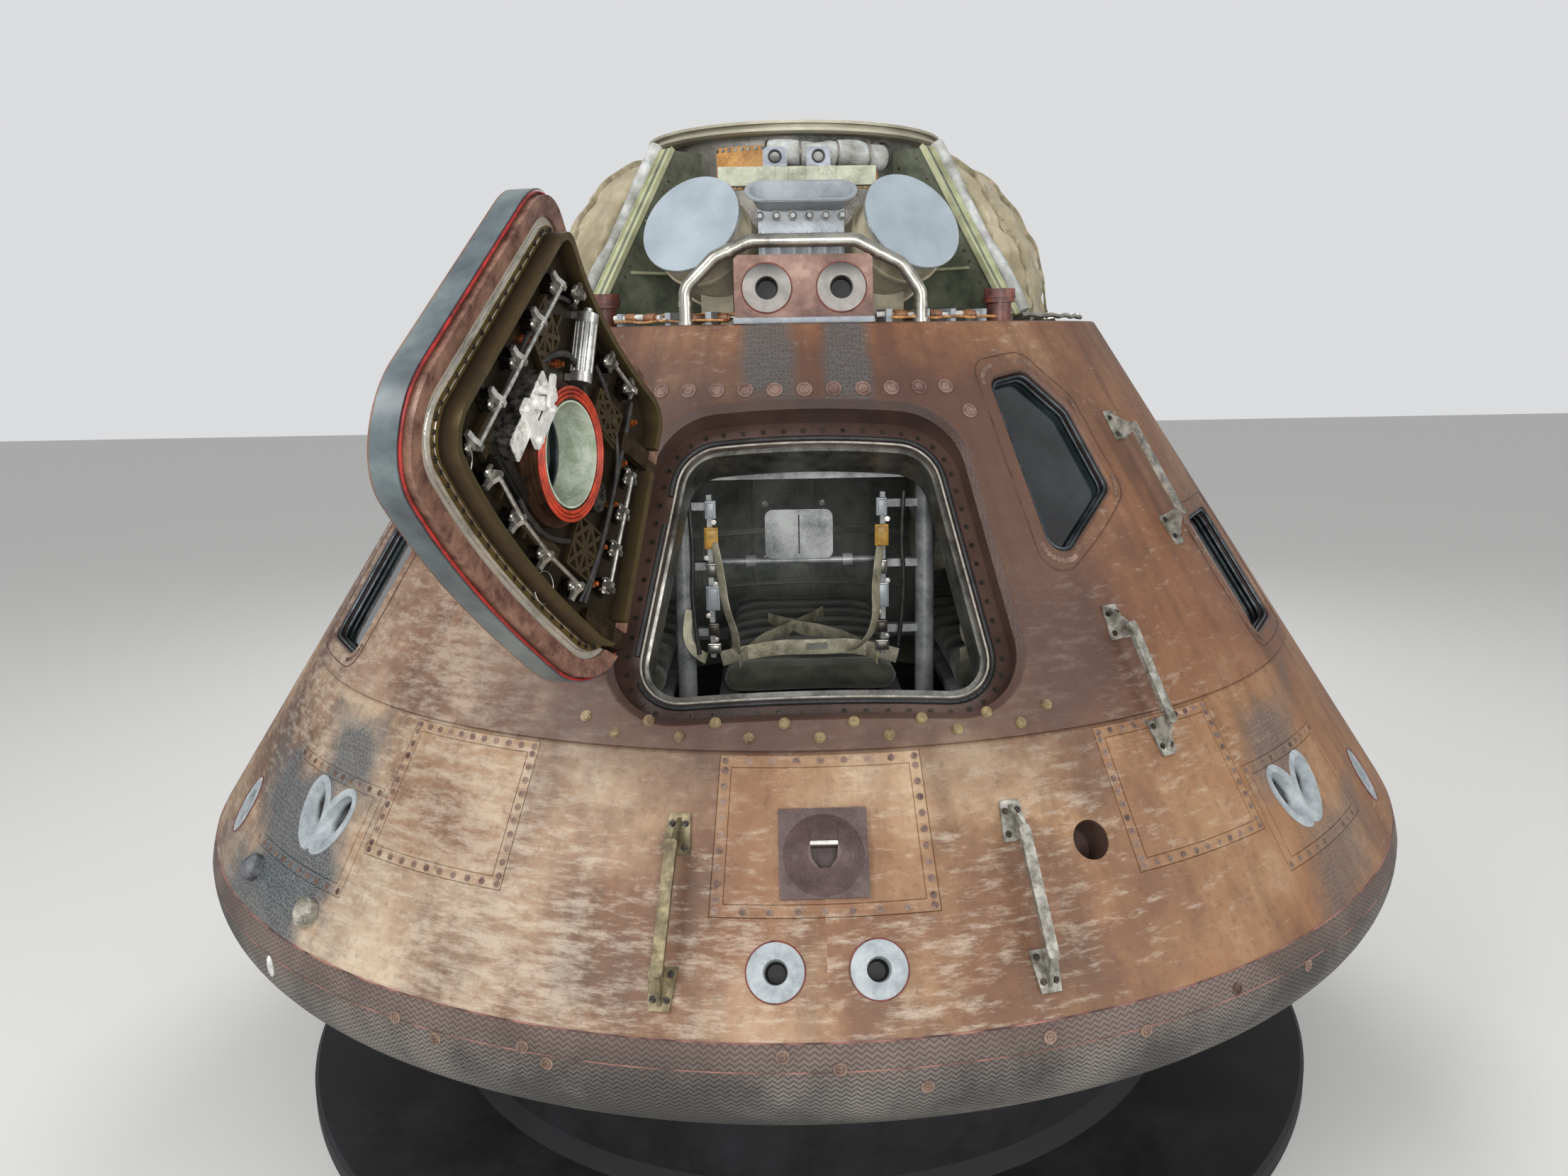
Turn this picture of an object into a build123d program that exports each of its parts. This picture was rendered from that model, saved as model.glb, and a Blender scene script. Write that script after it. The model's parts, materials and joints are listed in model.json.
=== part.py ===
from build123d import *
import os
from math import asin, sin, cos, tan, radians, degrees, sqrt

# A blunt-cone crew capsule after re-entry, with its side hatch open, on a round display stand.
# Millimetres, +Z up, -Y is the hatch side, and the origin is the middle of the stand's foot.
# Heights in the tables are above the dish's lowest point; level() adds the stand.
# An azimuth is in degrees from -Y, positive towards +X.

os.makedirs("parts", exist_ok=True)

# Driving sizes of the body
max_radius = 1956.0          # largest radius, on the rounded lower edge
dish_radius = 4694.0         # sphere of the blunt end
edge_radius = 195.6          # rounded edge between dish and cone
half_angle = 33.0            # of the cone
seam_rise = 76.6             # seam of the aft shield, above the edge arc's centre
girth_seam = 1150.0          # seam round the cone under the hatch
rim_height = 2110.0          # cut-off top of the cone
floor_rise, floor_t = 59.0, 40.0     # cabin floor above the aft seam
wall = 190.0                 # whole cone wall, shield and cabin together
shield = 95.0                # outer part of that wall
aft_wall = 75.0              # aft shield
seam_gap = 0.4               # between panels that meet
groove = 4.0                 # bevel that shows at a seam

# Display stand
lift = 330.0                 # floor to the dish's lowest point
stand_radius = 1745.0
stand_edge = 60.0
stand_bevel = 12.0
stand_cove = 40.0            # slope at the drum's foot
drum_radius = 1250.0
drum_wall = 120.0

# Side hatch: outline on the plane that touches the cone at its middle
hatch_low, hatch_high = 1232.0, 1906.0
hatch_half_low, hatch_half_high = 520.0, 374.0
hatch_corner = 165.0
hatch_gap = 7.0              # round the outer shield when shut
sill = 62.0                  # step from the outer to the inner outline
hatch_shield_t = 55.0
hatch_open = 105.3           # degrees
hatchway_bevel, window_bevel = 22.0, 8.0
hinge_x, hinge_height, hinge_out, hinge_lean = -473.95, 1550.0, 39.0, 2.06

# Forward bay
tunnel_bore, tunnel_wall = 385.0, 40.0
tunnel_drop, tunnel_rise = 65.0, 555.0   # tunnel below and above the rim
hatch_seat, seat_step = 80.0, 10.0   # counterbore at the tunnel's foot: height and step
ring_radius, ring_h = 479.0, 35.0
tunnel_hatch_t = 60.0
deck_t = 60.0
fit_gap = 0.3                # between pieces that seat on each other

c33, s33, t33 = cos(radians(half_angle)), sin(radians(half_angle)), tan(radians(half_angle))
edge_ring = max_radius - edge_radius
edge_height = dish_radius - sqrt((dish_radius - edge_radius) ** 2 - edge_ring ** 2)
tangent_r = edge_ring + edge_radius * c33
tangent_z = edge_height + edge_radius * s33
aft_seam = edge_height + seam_rise
floor_low = aft_seam + floor_rise
floor_high = floor_low + floor_t
deck = floor_high + fit_gap
tunnel_foot = rim_height - tunnel_drop
ring_foot = rim_height + tunnel_rise
ring_top = ring_foot + ring_h


def level(height):
    """Height above the dish's lowest point, as a height above the floor."""
    return lift + height


def cone_r(height, depth=0.0):
    """Radius of the cone at a height, depth millimetres inside its skin."""
    return tangent_r - (height - tangent_z) * t33 - depth / c33


def radial_plane(az):
    """Upright plane through the axis: x runs outwards, y up."""
    a = radians(az)
    return Plane(origin=(0, 0, 0), x_dir=(sin(a), -cos(a), 0), z_dir=(-cos(a), -sin(a), 0))


def skin_plane(az, height, out=0.0):
    """Plane that touches the cone: x runs to the right, y up the slope, z outwards."""
    a = radians(az)
    n = Vector(c33 * sin(a), -c33 * cos(a), s33)
    foot = Vector(cone_r(height) * sin(a), -cone_r(height) * cos(a), level(height))
    return Plane(origin=foot + n * out, x_dir=(cos(a), sin(a), 0), z_dir=n)


rim_r = cone_r(rim_height)


def bay(rise):
    """Height in the forward bay, from the rim up, as a height above the floor."""
    return level(rim_height + rise)


def write(piece, name):
    piece.part.label = name
    export_step(piece.part, f"parts/{name}.step")


def ring_face(rows):
    """Closed face in the radial plane from (radius, height) rows."""
    Polygon(*[(r, level(h)) for r, h in rows], align=None)


def layer_rows(low, high, near, far, bevel=0.0):
    """Cone layer between two depths, with bevelled outer corners."""
    rows = [(cone_r(low, far), low), (cone_r(low, near + bevel), low)]
    if bevel:
        rows.append((cone_r(low + bevel, near), low + bevel))
        rows.append((cone_r(high - bevel, near), high - bevel))
    rows += [(cone_r(high, near + bevel), high), (cone_r(high, far), high)]
    return rows


def dish_z(r):
    """Height of the dish over its lowest point at a radius, less the seat's gap."""
    return dish_radius - sqrt(dish_radius ** 2 - r ** 2) - fit_gap


# Stand: a low round platform and a drum that carries the dish
drum_bore = drum_radius - drum_wall
with BuildPart() as plinth:
    with BuildSketch(Plane.XZ):
        with BuildLine():
            Polyline(
                (drum_radius, level(dish_z(drum_radius))),
                (drum_radius, stand_edge + stand_cove),
                (drum_radius + stand_cove, stand_edge),
                (stand_radius - stand_bevel, stand_edge),
                (stand_radius, stand_edge - stand_bevel),
                (stand_radius, 0),
                (0, 0),
                (0, stand_edge),
                (drum_bore, stand_edge),
                (drum_bore, level(dish_z(drum_bore))),
            )
            mid = (drum_radius + drum_bore) / 2
            ThreePointArc(
                (drum_bore, level(dish_z(drum_bore))),
                (mid, level(dish_z(mid))),
                (drum_radius, level(dish_z(drum_radius))),
            )
        make_face()
    revolve(axis=Axis.Z)
write(plinth, "plinth")

# Aft heat shield: dish, rounded edge and the short neck up to the seam
with BuildPart() as aft_heat_shield:
    to_ring = Vector(edge_ring, edge_height - dish_radius).normalized()

    def dish_profile(depth):
        """Dish and edge arcs at a depth, from the axis to the seam."""
        ball, edge = dish_radius - depth, edge_radius - depth
        join = Vector(edge_ring, edge_height) + to_ring * edge
        half = (Vector(0, -1) + to_ring).normalized()
        rise = (aft_seam - edge_height) / edge
        top = Vector(edge_ring + edge * sqrt(1 - rise ** 2), aft_seam)
        mid = (to_ring + Vector(sqrt(1 - rise ** 2), rise)).normalized()
        up = Vector(0, lift)
        ThreePointArc(Vector(0, depth) + up, Vector(0, dish_radius) + half * ball + up, join + up)
        ThreePointArc(join + up, Vector(edge_ring, edge_height) + mid * edge + up, top + up)
        return Vector(0, depth) + up, top + up
    with BuildSketch(Plane.XZ):
        with BuildLine():
            low_out, top_out = dish_profile(0)
            low_in, top_in = dish_profile(aft_wall)
            Line(low_out, low_in)
            Line(top_out, top_in)
        make_face()
    revolve(axis=Axis.Z)
write(aft_heat_shield, "aft_heat_shield")

# Access panels in the lower cone: azimuth from, to, height from, to
panel_rows = [
    (-8.1, 8.1, 844, 1146),
    (-38.3, -24.0, 852, 1146),
    (24.0, 38.3, 852, 1146),
    (-54.8, -38.9, 753, 987),
    (38.9, 54.8, 753, 987),
]
panel_t = 50.0
strip_w, line_w, line_d = 28.0, 2.6, 3.0   # bolted strip round a panel, and the lines beside it

# Round fittings in the lower cone: azimuth, height
pitch_rows = [(-3.4, 752), (3.4, 752)]
pitch_r, pitch_throat, pitch_depth = 63.0, 27.0, 60.0
roll_rows = [(-45.5, 878), (45.5, 878)]
lobe_x, lobe_w, lobe_h, lobe_turn = 50.0, 62.0, 100.0, 26.0
lobe_rim = 17.0              # flat rim round each mouth
roll_throat = (20.0, 24.0)
yaw_mouth = (26.0, 42.0)
yaw_rows = [(-61.8, 780), (61.8, 780)]
vent_row = (20.7, 933)
vent_r = 46.0


def panel_sector(row, inset, near, far, mode):
    """Sector of the cone between two depths, inset from the edge of one panel."""
    az0, az1, low, high = row
    turn = degrees(inset / cone_r((low + high) / 2))
    with BuildSketch(radial_plane(az0 + turn)) as side:
        ring_face(layer_rows(low + inset * c33, high - inset * c33, near, far))
    revolve(side.sketch, axis=Axis.Z, revolution_arc=az1 - az0 - 2 * turn, mode=mode)


def heart(scale=0.0):
    """Two leaning ovals that overlap: the outline of a roll thruster pair."""
    for side in (-1, 1):
        with Locations(Location((side * lobe_x, 8, 0), (0, 0, -side * lobe_turn))):
            Ellipse(lobe_w + scale, lobe_h + scale)


# Lower cone: aft seam up to the girth seam
with BuildPart() as lower_cone_shell:
    with BuildSketch(Plane.XZ):
        with BuildLine():
            start = aft_seam + seam_gap
            rise = (start - edge_height) / edge_radius
            mid_rise = (rise + s33) / 2
            mid_height = edge_height + edge_radius * mid_rise
            skin_foot = (edge_ring + edge_radius * sqrt(1 - rise ** 2), level(start))
            skin_mid = (edge_ring + edge_radius * sqrt(1 - mid_rise ** 2), level(mid_height))
            skin_join = (tangent_r, level(tangent_z))
            ThreePointArc(skin_foot, skin_mid, skin_join)
            top = girth_seam - seam_gap / 2
            Polyline(
                skin_join,
                (cone_r(top - groove), level(top - groove)),
                (cone_r(top, groove), level(top)),
                (cone_r(top, wall), level(top)),
                (cone_r(start, wall), level(start)),
                skin_foot,
            )
        make_face()
    revolve(axis=Axis.Z)
    for row in panel_rows:
        panel_sector(row, 0, -30, panel_t, Mode.SUBTRACT)
    for az, height in pitch_rows:
        with BuildSketch(skin_plane(az, height, 20)):
            Circle(pitch_r + fit_gap)
        extrude(amount=-(20 + pitch_depth + fit_gap), mode=Mode.SUBTRACT)
    for az, height in yaw_rows:
        with BuildSketch(skin_plane(az, height, 20)):
            Ellipse(60 + fit_gap, 85 + fit_gap)
        extrude(amount=-(20 + pitch_depth + fit_gap), mode=Mode.SUBTRACT)
    with BuildSketch(skin_plane(*vent_row, 20)):
        Circle(vent_r)
    extrude(amount=-110, mode=Mode.SUBTRACT)
write(lower_cone_shell, "lower_cone_shell")

with BuildPart() as strip_lines:
    for row in panel_rows:
        panel_sector(row, strip_w, -1, line_d, Mode.ADD)
        panel_sector(row, strip_w + line_w, -2, line_d + 1, Mode.SUBTRACT)
with BuildPart() as access_panels:
    for row in panel_rows:
        panel_sector(row, seam_gap, line_d, panel_t - fit_gap, Mode.ADD)
        panel_sector(row, line_w, 0, line_d + 1, Mode.ADD)
    add(strip_lines.part, mode=Mode.SUBTRACT)
    for az, height in roll_rows:
        with BuildSketch(skin_plane(az, height, 20)):
            heart(fit_gap)
        extrude(amount=-80, mode=Mode.SUBTRACT)
write(access_panels, "access_panels")

# Thruster mouths: rings with a flared throat, set in the skin
with BuildPart() as pitch_nozzles:
    for az, height in pitch_rows:
        with BuildSketch(skin_plane(az, height, -pitch_depth)):
            Circle(pitch_r)
        extrude(amount=pitch_depth)
        with BuildSketch(skin_plane(az, height, 0)):
            Circle(pitch_throat)
        extrude(amount=-(pitch_depth - 8), taper=8, mode=Mode.SUBTRACT)
write(pitch_nozzles, "pitch_nozzles")

with BuildPart() as roll_nozzles:
    for az, height in roll_rows:
        with BuildSketch(skin_plane(az, height, -panel_t + 2)):
            heart()
        extrude(amount=panel_t - 2)
        for side in (-1, 1):
            lean_at = Location((side * (lobe_x + 4), 12, 0), (0, 0, -side * lobe_turn))
            with BuildSketch(skin_plane(az, height, 0.5)):
                with Locations(lean_at):
                    Ellipse(lobe_w - lobe_rim - 6, lobe_h - lobe_rim - 6)
            with BuildSketch(skin_plane(az, height, -panel_t + 10)):
                with Locations(Location((side * (lobe_x + 14), 46, 0), (0, 0, -side * lobe_turn))):
                    Ellipse(*roll_throat)
            loft(mode=Mode.SUBTRACT)
write(roll_nozzles, "roll_nozzles")

with BuildPart() as yaw_nozzles:
    for az, height in yaw_rows:
        with BuildSketch(skin_plane(az, height, -pitch_depth)):
            Ellipse(60, 85)
        extrude(amount=pitch_depth)
        for depth, size in ((1, 1.1), (-pitch_depth + 8, 0.75)):
            with BuildSketch(skin_plane(az, height, depth)):
                Ellipse(yaw_mouth[0] * size, yaw_mouth[1] * size)
        loft(mode=Mode.SUBTRACT)
write(yaw_nozzles, "yaw_nozzles")

# Steam vent scoop on the middle panel: square plate, round boss, flat ramp down from above and a
# lipped mouth that opens upwards under it
scoop_row = (0.0, 960)
scoop_side, scoop_t = 196.0, 10.0
boss_r, boss_h, boss_drop = 91.0, 42.0, -5.0
ramp_w, lip_y, lip_t = 64.0, 14.0, 7.0
mouth_rows = [(-30, 12), (30, 12), (27, -14), (12, -36), (-12, -36), (-27, -14)]
with BuildPart() as vent_scoop:
    face = skin_plane(*scoop_row, fit_gap)
    with BuildSketch(face):
        Rectangle(scoop_side, scoop_side)
    extrude(amount=scoop_t)
    with BuildSketch(face.offset(scoop_t - 1)):
        with Locations((0, boss_drop)):
            Circle(boss_r)
    extrude(amount=boss_h + 1, taper=52)
    ramp = Plane(face.origin, x_dir=face.y_dir, z_dir=face.x_dir)
    boss_top = scoop_t + boss_h
    with BuildSketch(ramp):
        Polygon(
            (lip_y, boss_top - 8), (lip_y, boss_top + 60), (scoop_side, boss_top + 60),
            (scoop_side, scoop_t), (scoop_side / 2 - 6, scoop_t), align=None,
        )
    extrude(amount=ramp_w / 2, both=True, mode=Mode.SUBTRACT)
    with BuildSketch(face.offset(boss_top - 14)):
        Polygon(*[(x * 1.3, y * 1.3) for x, y in mouth_rows], align=None)
        fillet(vertices().sort_by(Axis.Y)[:4], radius=12)
    extrude(amount=18, taper=12)
    with BuildSketch(face.offset(scoop_t + 6)):
        Polygon(*[(x, y - lip_t / 2) for x, y in mouth_rows], align=None)
        fillet(vertices().sort_by(Axis.Y)[:4], radius=9)
    extrude(amount=boss_h + 20, mode=Mode.SUBTRACT)
    with BuildSketch(face.offset(scoop_t)):
        with Locations((0, lip_y)):
            Rectangle(ramp_w - 4, lip_t)
    extrude(amount=boss_h + 3)
write(vent_scoop, "vent_scoop")

# Two small domes low on the left: azimuth, height
dome_rows = [(-52.0, 712), (-41.5, 703)]
dome_r, dome_neck = 35.0, 22.0
with BuildPart() as antenna_domes:
    for az, height in dome_rows:
        foot = skin_plane(az, height, fit_gap)
        with BuildSketch(foot):
            Circle(dome_r)
        extrude(amount=dome_neck)
        top = skin_plane(az, height, fit_gap + dome_neck)
        with Locations(top.location):
            Sphere(dome_r, arc_size1=0)
write(antenna_domes, "antenna_domes")

# Handholds: azimuth, middle height, foot-to-foot length. A channel bar on two tapered feet, each
# with a web up to the bar and four bolt holes.
hold_rows = [(-10.8, 855, 420), (14.6, 855, 420), (31.0, 1225, 400), (48.3, 1672, 430)]
foot_w, foot_l, foot_t, foot_slope, foot_bolt = 66.0, 92.0, 6.0, 84.0, 5.5
stand_off, bar_w, bar_t, bar_wall, web_t = 46.0, 26.0, 12.0, 3.0, 9.0
with BuildPart() as handholds:
    for az, height, length in hold_rows:
        base = skin_plane(az, height, 0.6)
        side = Plane(origin=base.origin, x_dir=base.y_dir, z_dir=base.x_dir)
        half = length / 2
        reach = half - foot_l
        for end in (-1, 1):
            turned = Location((0, end * (half - foot_l / 2), 0), (0, 0, 90 - 90 * end))
            with BuildSketch(base):
                with Locations(turned):
                    Trapezoid(foot_w, foot_l, foot_slope)
                    with Locations((-19, -30), (19, -30), (-15, 22), (15, 22)):
                        Circle(foot_bolt, mode=Mode.SUBTRACT)
            extrude(amount=foot_t)
            with BuildSketch(side):
                Polygon(
                    (end * (half - 8), foot_t - 1), (end * reach, foot_t - 1),
                    (end * reach, stand_off + 2), (end * (reach + 24), stand_off + 2), align=None,
                )
            extrude(amount=web_t / 2, both=True)
        bar_l = 2 * (reach + 26)
        with BuildSketch(base.offset(stand_off)):
            RectangleRounded(bar_w, bar_l, 8)
        extrude(amount=bar_t)
        with BuildSketch(base.offset(stand_off - 1)):
            Rectangle(bar_w - 2 * bar_wall, 2 * reach - 8)
        extrude(amount=bar_t - bar_wall + 1, mode=Mode.SUBTRACT)
write(handholds, "handholds")

# Upper cone: girth seam up to the rim, with the hatchway and the windows cut
hatch_mid = (hatch_low + hatch_high) / 2
hatch_rise = (hatch_high - hatch_low) / c33


def hatch_outline(inset):
    """Rounded trapezoid of the hatch, inset from the edge of the hatchway."""
    Polygon(
        (-hatch_half_low, -hatch_rise / 2),
        (hatch_half_low, -hatch_rise / 2),
        (hatch_half_high, hatch_rise / 2),
        (-hatch_half_high, hatch_rise / 2),
        align=None,
    )
    fillet(vertices(), radius=hatch_corner)
    if inset:
        offset(amount=-inset, mode=Mode.REPLACE)


# Front windows: local outline (right, up the slope) about azimuth and height
front_window = (33.5, 1760)
front_rows = [(-122, 240), (14, 262), (118, 134), (150, -112), (-94, -272), (-158, -264)]
side_window = (61.0, 1385)
side_half_w, side_half_h, window_corner = 150.0, 195.0, 42.0
pane_depth, pane_t = 42.0, 14.0


def front_outline(side, inset=0.0):
    Polygon(*[(side * x, y) for x, y in front_rows], align=None)
    fillet(vertices(), radius=window_corner)
    if inset:
        offset(amount=-inset, mode=Mode.REPLACE)


def side_outline(inset=0.0):
    RectangleRounded(2 * (side_half_w - inset), 2 * (side_half_h - inset), window_corner)


with BuildPart() as upper_cone_shell:
    low, high = girth_seam + seam_gap / 2, rim_height
    with BuildSketch(Plane.XZ):
        ring_face(layer_rows(low, high, 0, shield, groove))
    revolve(axis=Axis.Z)
    with BuildSketch(skin_plane(0, hatch_mid)):
        hatch_outline(0)
    extrude(amount=350, both=True, mode=Mode.SUBTRACT)
    with BuildSketch(Plane.XZ):
        ring_face(layer_rows(low, high, shield, wall))
    revolve(axis=Axis.Z)
    with BuildSketch(skin_plane(0, hatch_mid)):
        hatch_outline(sill)
    extrude(amount=350, both=True, mode=Mode.SUBTRACT)
    for side in (-1, 1):
        with BuildSketch(skin_plane(side * front_window[0], front_window[1])):
            front_outline(side)
        extrude(amount=280, both=True, mode=Mode.SUBTRACT)
        with BuildSketch(skin_plane(side * side_window[0], side_window[1])):
            side_outline()
        extrude(amount=280, both=True, mode=Mode.SUBTRACT)
    for size, pick in ((window_bevel, slice(0, 4)), (hatchway_bevel, slice(4, 5))):
        skin = upper_cone_shell.faces().filter_by(GeomType.CONE).sort_by(SortBy.AREA)[-1]
        rims = skin.inner_wires().sort_by(SortBy.LENGTH)[pick]
        chamfer([e for rim in rims for e in rim.edges()], length=size)
write(upper_cone_shell, "upper_cone_shell")

# Window panes, set back in their openings
with BuildPart() as front_windows:
    for side in (-1, 1):
        with BuildSketch(skin_plane(side * front_window[0], front_window[1], -pane_depth - pane_t)):
            front_outline(side, fit_gap)
        extrude(amount=pane_t)
write(front_windows, "front_windows")

with BuildPart() as side_windows:
    for side in (-1, 1):
        with BuildSketch(skin_plane(side * side_window[0], side_window[1], -pane_depth - pane_t)):
            side_outline(fit_gap)
        extrude(amount=pane_t)
write(side_windows, "side_windows")

# Metal frame that lines the inner hatchway
frame_t, frame_lip = 16.0, 34.0
with BuildPart() as hatchway_frame:
    with BuildSketch(skin_plane(0, hatch_mid)):
        hatch_outline(sill + fit_gap)
    extrude(amount=350, both=True)
    with BuildSketch(skin_plane(0, hatch_mid)):
        hatch_outline(sill + fit_gap + frame_t)
    extrude(amount=350, both=True, mode=Mode.SUBTRACT)
    with BuildSketch(Plane.XZ):
        ring_face(layer_rows(girth_seam, rim_height - 60, shield + 10, wall + frame_lip))
    revolve(axis=Axis.Z, mode=Mode.INTERSECT)
write(hatchway_frame, "hatchway_frame")

# Cabin floor and the bulkhead that closes the cone's top
with BuildPart() as cabin_floor:
    with BuildSketch(Plane.XZ):
        ring_face([
            (0, floor_low),
            (cone_r(floor_low, wall + fit_gap), floor_low),
            (cone_r(floor_high, wall + fit_gap), floor_high),
            (0, floor_high),
        ])
    revolve(axis=Axis.Z)
write(cabin_floor, "cabin_floor")

tunnel_r = tunnel_bore + tunnel_wall
with BuildPart() as forward_bulkhead:
    deck_low = rim_height - deck_t
    with BuildSketch(Plane.XZ):
        ring_face([
            (tunnel_r + fit_gap, deck_low),
            (cone_r(deck_low, wall + fit_gap), deck_low),
            (cone_r(rim_height, wall + fit_gap), rim_height),
            (tunnel_r + fit_gap, rim_height),
        ])
    revolve(axis=Axis.Z)
write(forward_bulkhead, "forward_bulkhead")

with BuildPart() as tunnel:
    with BuildSketch(Plane.XZ):
        ring_face([
            (tunnel_bore + seat_step, tunnel_foot),
            (tunnel_r, tunnel_foot),
            (tunnel_r, ring_foot),
            (tunnel_bore, ring_foot),
            (tunnel_bore, tunnel_foot + hatch_seat),
            (tunnel_bore + seat_step, tunnel_foot + hatch_seat),
        ])
    revolve(axis=Axis.Z)
write(tunnel, "tunnel")

with BuildPart() as top_ring:
    lip = 8.0
    with BuildSketch(Plane.XZ):
        ring_face([
            (tunnel_bore, ring_foot + fit_gap),
            (ring_radius - 14, ring_foot + fit_gap),
            (ring_radius, ring_foot + 6),
            (ring_radius, ring_foot + 6 + lip),
            (ring_radius - 18, ring_foot + 6 + lip),
            (ring_radius - 18, ring_top - lip),
            (ring_radius, ring_top - lip),
            (ring_radius, ring_top),
            (tunnel_bore, ring_top),
        ])
    revolve(axis=Axis.Z)
write(top_ring, "top_ring")

with BuildPart() as tunnel_hatch:
    shut = tunnel_foot + hatch_seat - fit_gap - tunnel_hatch_t
    r = tunnel_bore + seat_step - fit_gap
    with BuildSketch(Plane.XZ):
        ring_face([
            (0, shut), (r, shut), (r, shut + tunnel_hatch_t),
            (r - 60, shut + tunnel_hatch_t), (r - 110, shut + tunnel_hatch_t - 25),
            (0, shut + tunnel_hatch_t - 25),
        ])
    revolve(axis=Axis.Z)
write(tunnel_hatch, "tunnel_hatch")

# Gussets: upright plates from the tunnel to the rim, with a channel flange on the sloping edge.
# Radii are from the tunnel's wall outwards or from the rim inwards, heights above the rim.
gusset_t, flange_w, flange_t, flange_lip = 12.0, 56.0, 8.0, 13.0
gusset_az = [45, 135, 225, 315]
gusset_top = (tunnel_r + 123.0, rim_height + 522.0)
gusset_foot = (rim_r - 115.0, rim_height + 18.0)
gusset_run = Vector(gusset_top[0] - gusset_foot[0], gusset_top[1] - gusset_foot[1])
gusset_out = Vector(gusset_run.Y, -gusset_run.X).normalized()


def edge_band(near, far):
    """Band along a gusset's sloping edge, between two distances outwards from it."""
    ring_face([
        (foot[0] + gusset_out.X * d, foot[1] + gusset_out.Y * d)
        for foot, d in ((gusset_foot, near), (gusset_foot, far), (gusset_top, far), (gusset_top, near))
    ])


with BuildPart() as gussets:
    for az in gusset_az:
        web = radial_plane(az)
        with BuildSketch(web):
            ring_face([
                (tunnel_r + fit_gap, rim_height + fit_gap),
                (gusset_foot[0], rim_height + fit_gap),
                gusset_foot,
                gusset_top,
                (tunnel_r + fit_gap, gusset_top[1]),
            ])
        extrude(amount=gusset_t / 2, both=True)
        for width, near, far in ((flange_w, -2, flange_t), (flange_w - 8, flange_t, 30)):
            with BuildSketch(web):
                edge_band(near, far)
            extrude(amount=width / 2, both=True, mode=Mode.ADD if near < 0 else Mode.SUBTRACT)
        for side in (-1, 1):
            lip_at = web.offset(side * (flange_w / 2 - 2))
            with BuildSketch(lip_at):
                edge_band(0, flange_lip)
            extrude(amount=2, both=True)
write(gussets, "gussets")

# Mortar cans: lid centre and the way the lid faces, mirrored. A rolled rim stands round each lid.
can_r, can_len, lid_r, lid_t, can_foot = 134.0, 285.0, 147.0, 12.0, (90.0, 120.0)
with BuildPart() as mortar_cans:
    for side in (-1, 1):
        lid_at = Vector(side * 305.0, -(rim_r - 203.4), bay(274))
        lid = Plane(lid_at, z_dir=Vector(side * 0.41, -0.77, 0.48).normalized())
        with BuildSketch(lid):
            Circle(lid_r)
        extrude(amount=-lid_t)
        with BuildSketch(lid.offset(-lid_t - 12)):
            Circle(can_r)
        extrude(amount=-(can_len - lid_t - 12))
        with BuildSketch(lid.offset(-lid_t)):
            Circle(can_r - 8)
        extrude(amount=-14)
        for k in (90, 200):
            with BuildSketch(lid.offset(-k)):
                Circle(can_r + 6)
            extrude(amount=-10)
        foot_at = lid_at - lid.z_dir * (can_len * 0.55)
        with BuildSketch(Plane((foot_at.X, foot_at.Y, bay(fit_gap)))):
            Rectangle(*can_foot)
        extrude(amount=foot_at.Z - bay(0))
write(mortar_cans, "mortar_cans")

# Cast riser fitting between the cans: flared trough on a ribbed, bolted wall
fit_x, trough_w, trough_h, trough_rise = -2.0, 306.0, 64.0, 320.0
cast_w, cast_h, cast_t, rib_t, rib_d, rib_pitch, bolt_pitch = 236.0, 322.0, 30.0, 9.0, 52.0, 42.0, 45.0
with BuildPart() as riser_fitting:
    back = Plane(origin=(fit_x, -(rim_r - 241.4), bay(fit_gap)), x_dir=(1, 0, 0), z_dir=(0, -1, 0))
    with BuildSketch(back):
        with Locations((0, cast_h / 2)):
            Rectangle(cast_w, cast_h)
    extrude(amount=cast_t)
    for k in range(6):
        with BuildSketch(back):
            with Locations(((k - 2.5) * rib_pitch, cast_h / 2 - 36)):
                Rectangle(rib_t, cast_h - 72)
        extrude(amount=rib_d)
    with BuildSketch(back):
        with Locations((0, 9)):
            Rectangle(cast_w + 20, 18)
    extrude(amount=rib_d + 8)
    for k in range(6):
        with BuildSketch(back.offset(cast_t)):
            with Locations(((k - 2.5) * bolt_pitch, cast_h - 32)):
                Circle(13)
        extrude(amount=16)
        with BuildSketch(back.offset(cast_t + 16)):
            with Locations(((k - 2.5) * bolt_pitch, cast_h - 32)):
                RegularPolygon(10, 6)
        extrude(amount=8)
    mouth_at = (fit_x, -(rim_r - 213.4), bay(trough_rise))
    mouth = Plane(origin=mouth_at, x_dir=(1, 0, 0), z_dir=(0, -0.64, 0.77))
    with BuildSketch(mouth):
        SlotOverall(trough_w - 60, trough_h - 14)
    extrude(amount=46, taper=-26)
    with BuildSketch(mouth.offset(40)):
        SlotOverall(trough_w, trough_h + 30)
    extrude(amount=6)
    with BuildSketch(mouth.offset(46.01)):
        SlotOverall(trough_w - 24, trough_h + 14)
    extrude(amount=-34, taper=26, mode=Mode.SUBTRACT)
write(riser_fitting, "riser_fitting")

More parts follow.
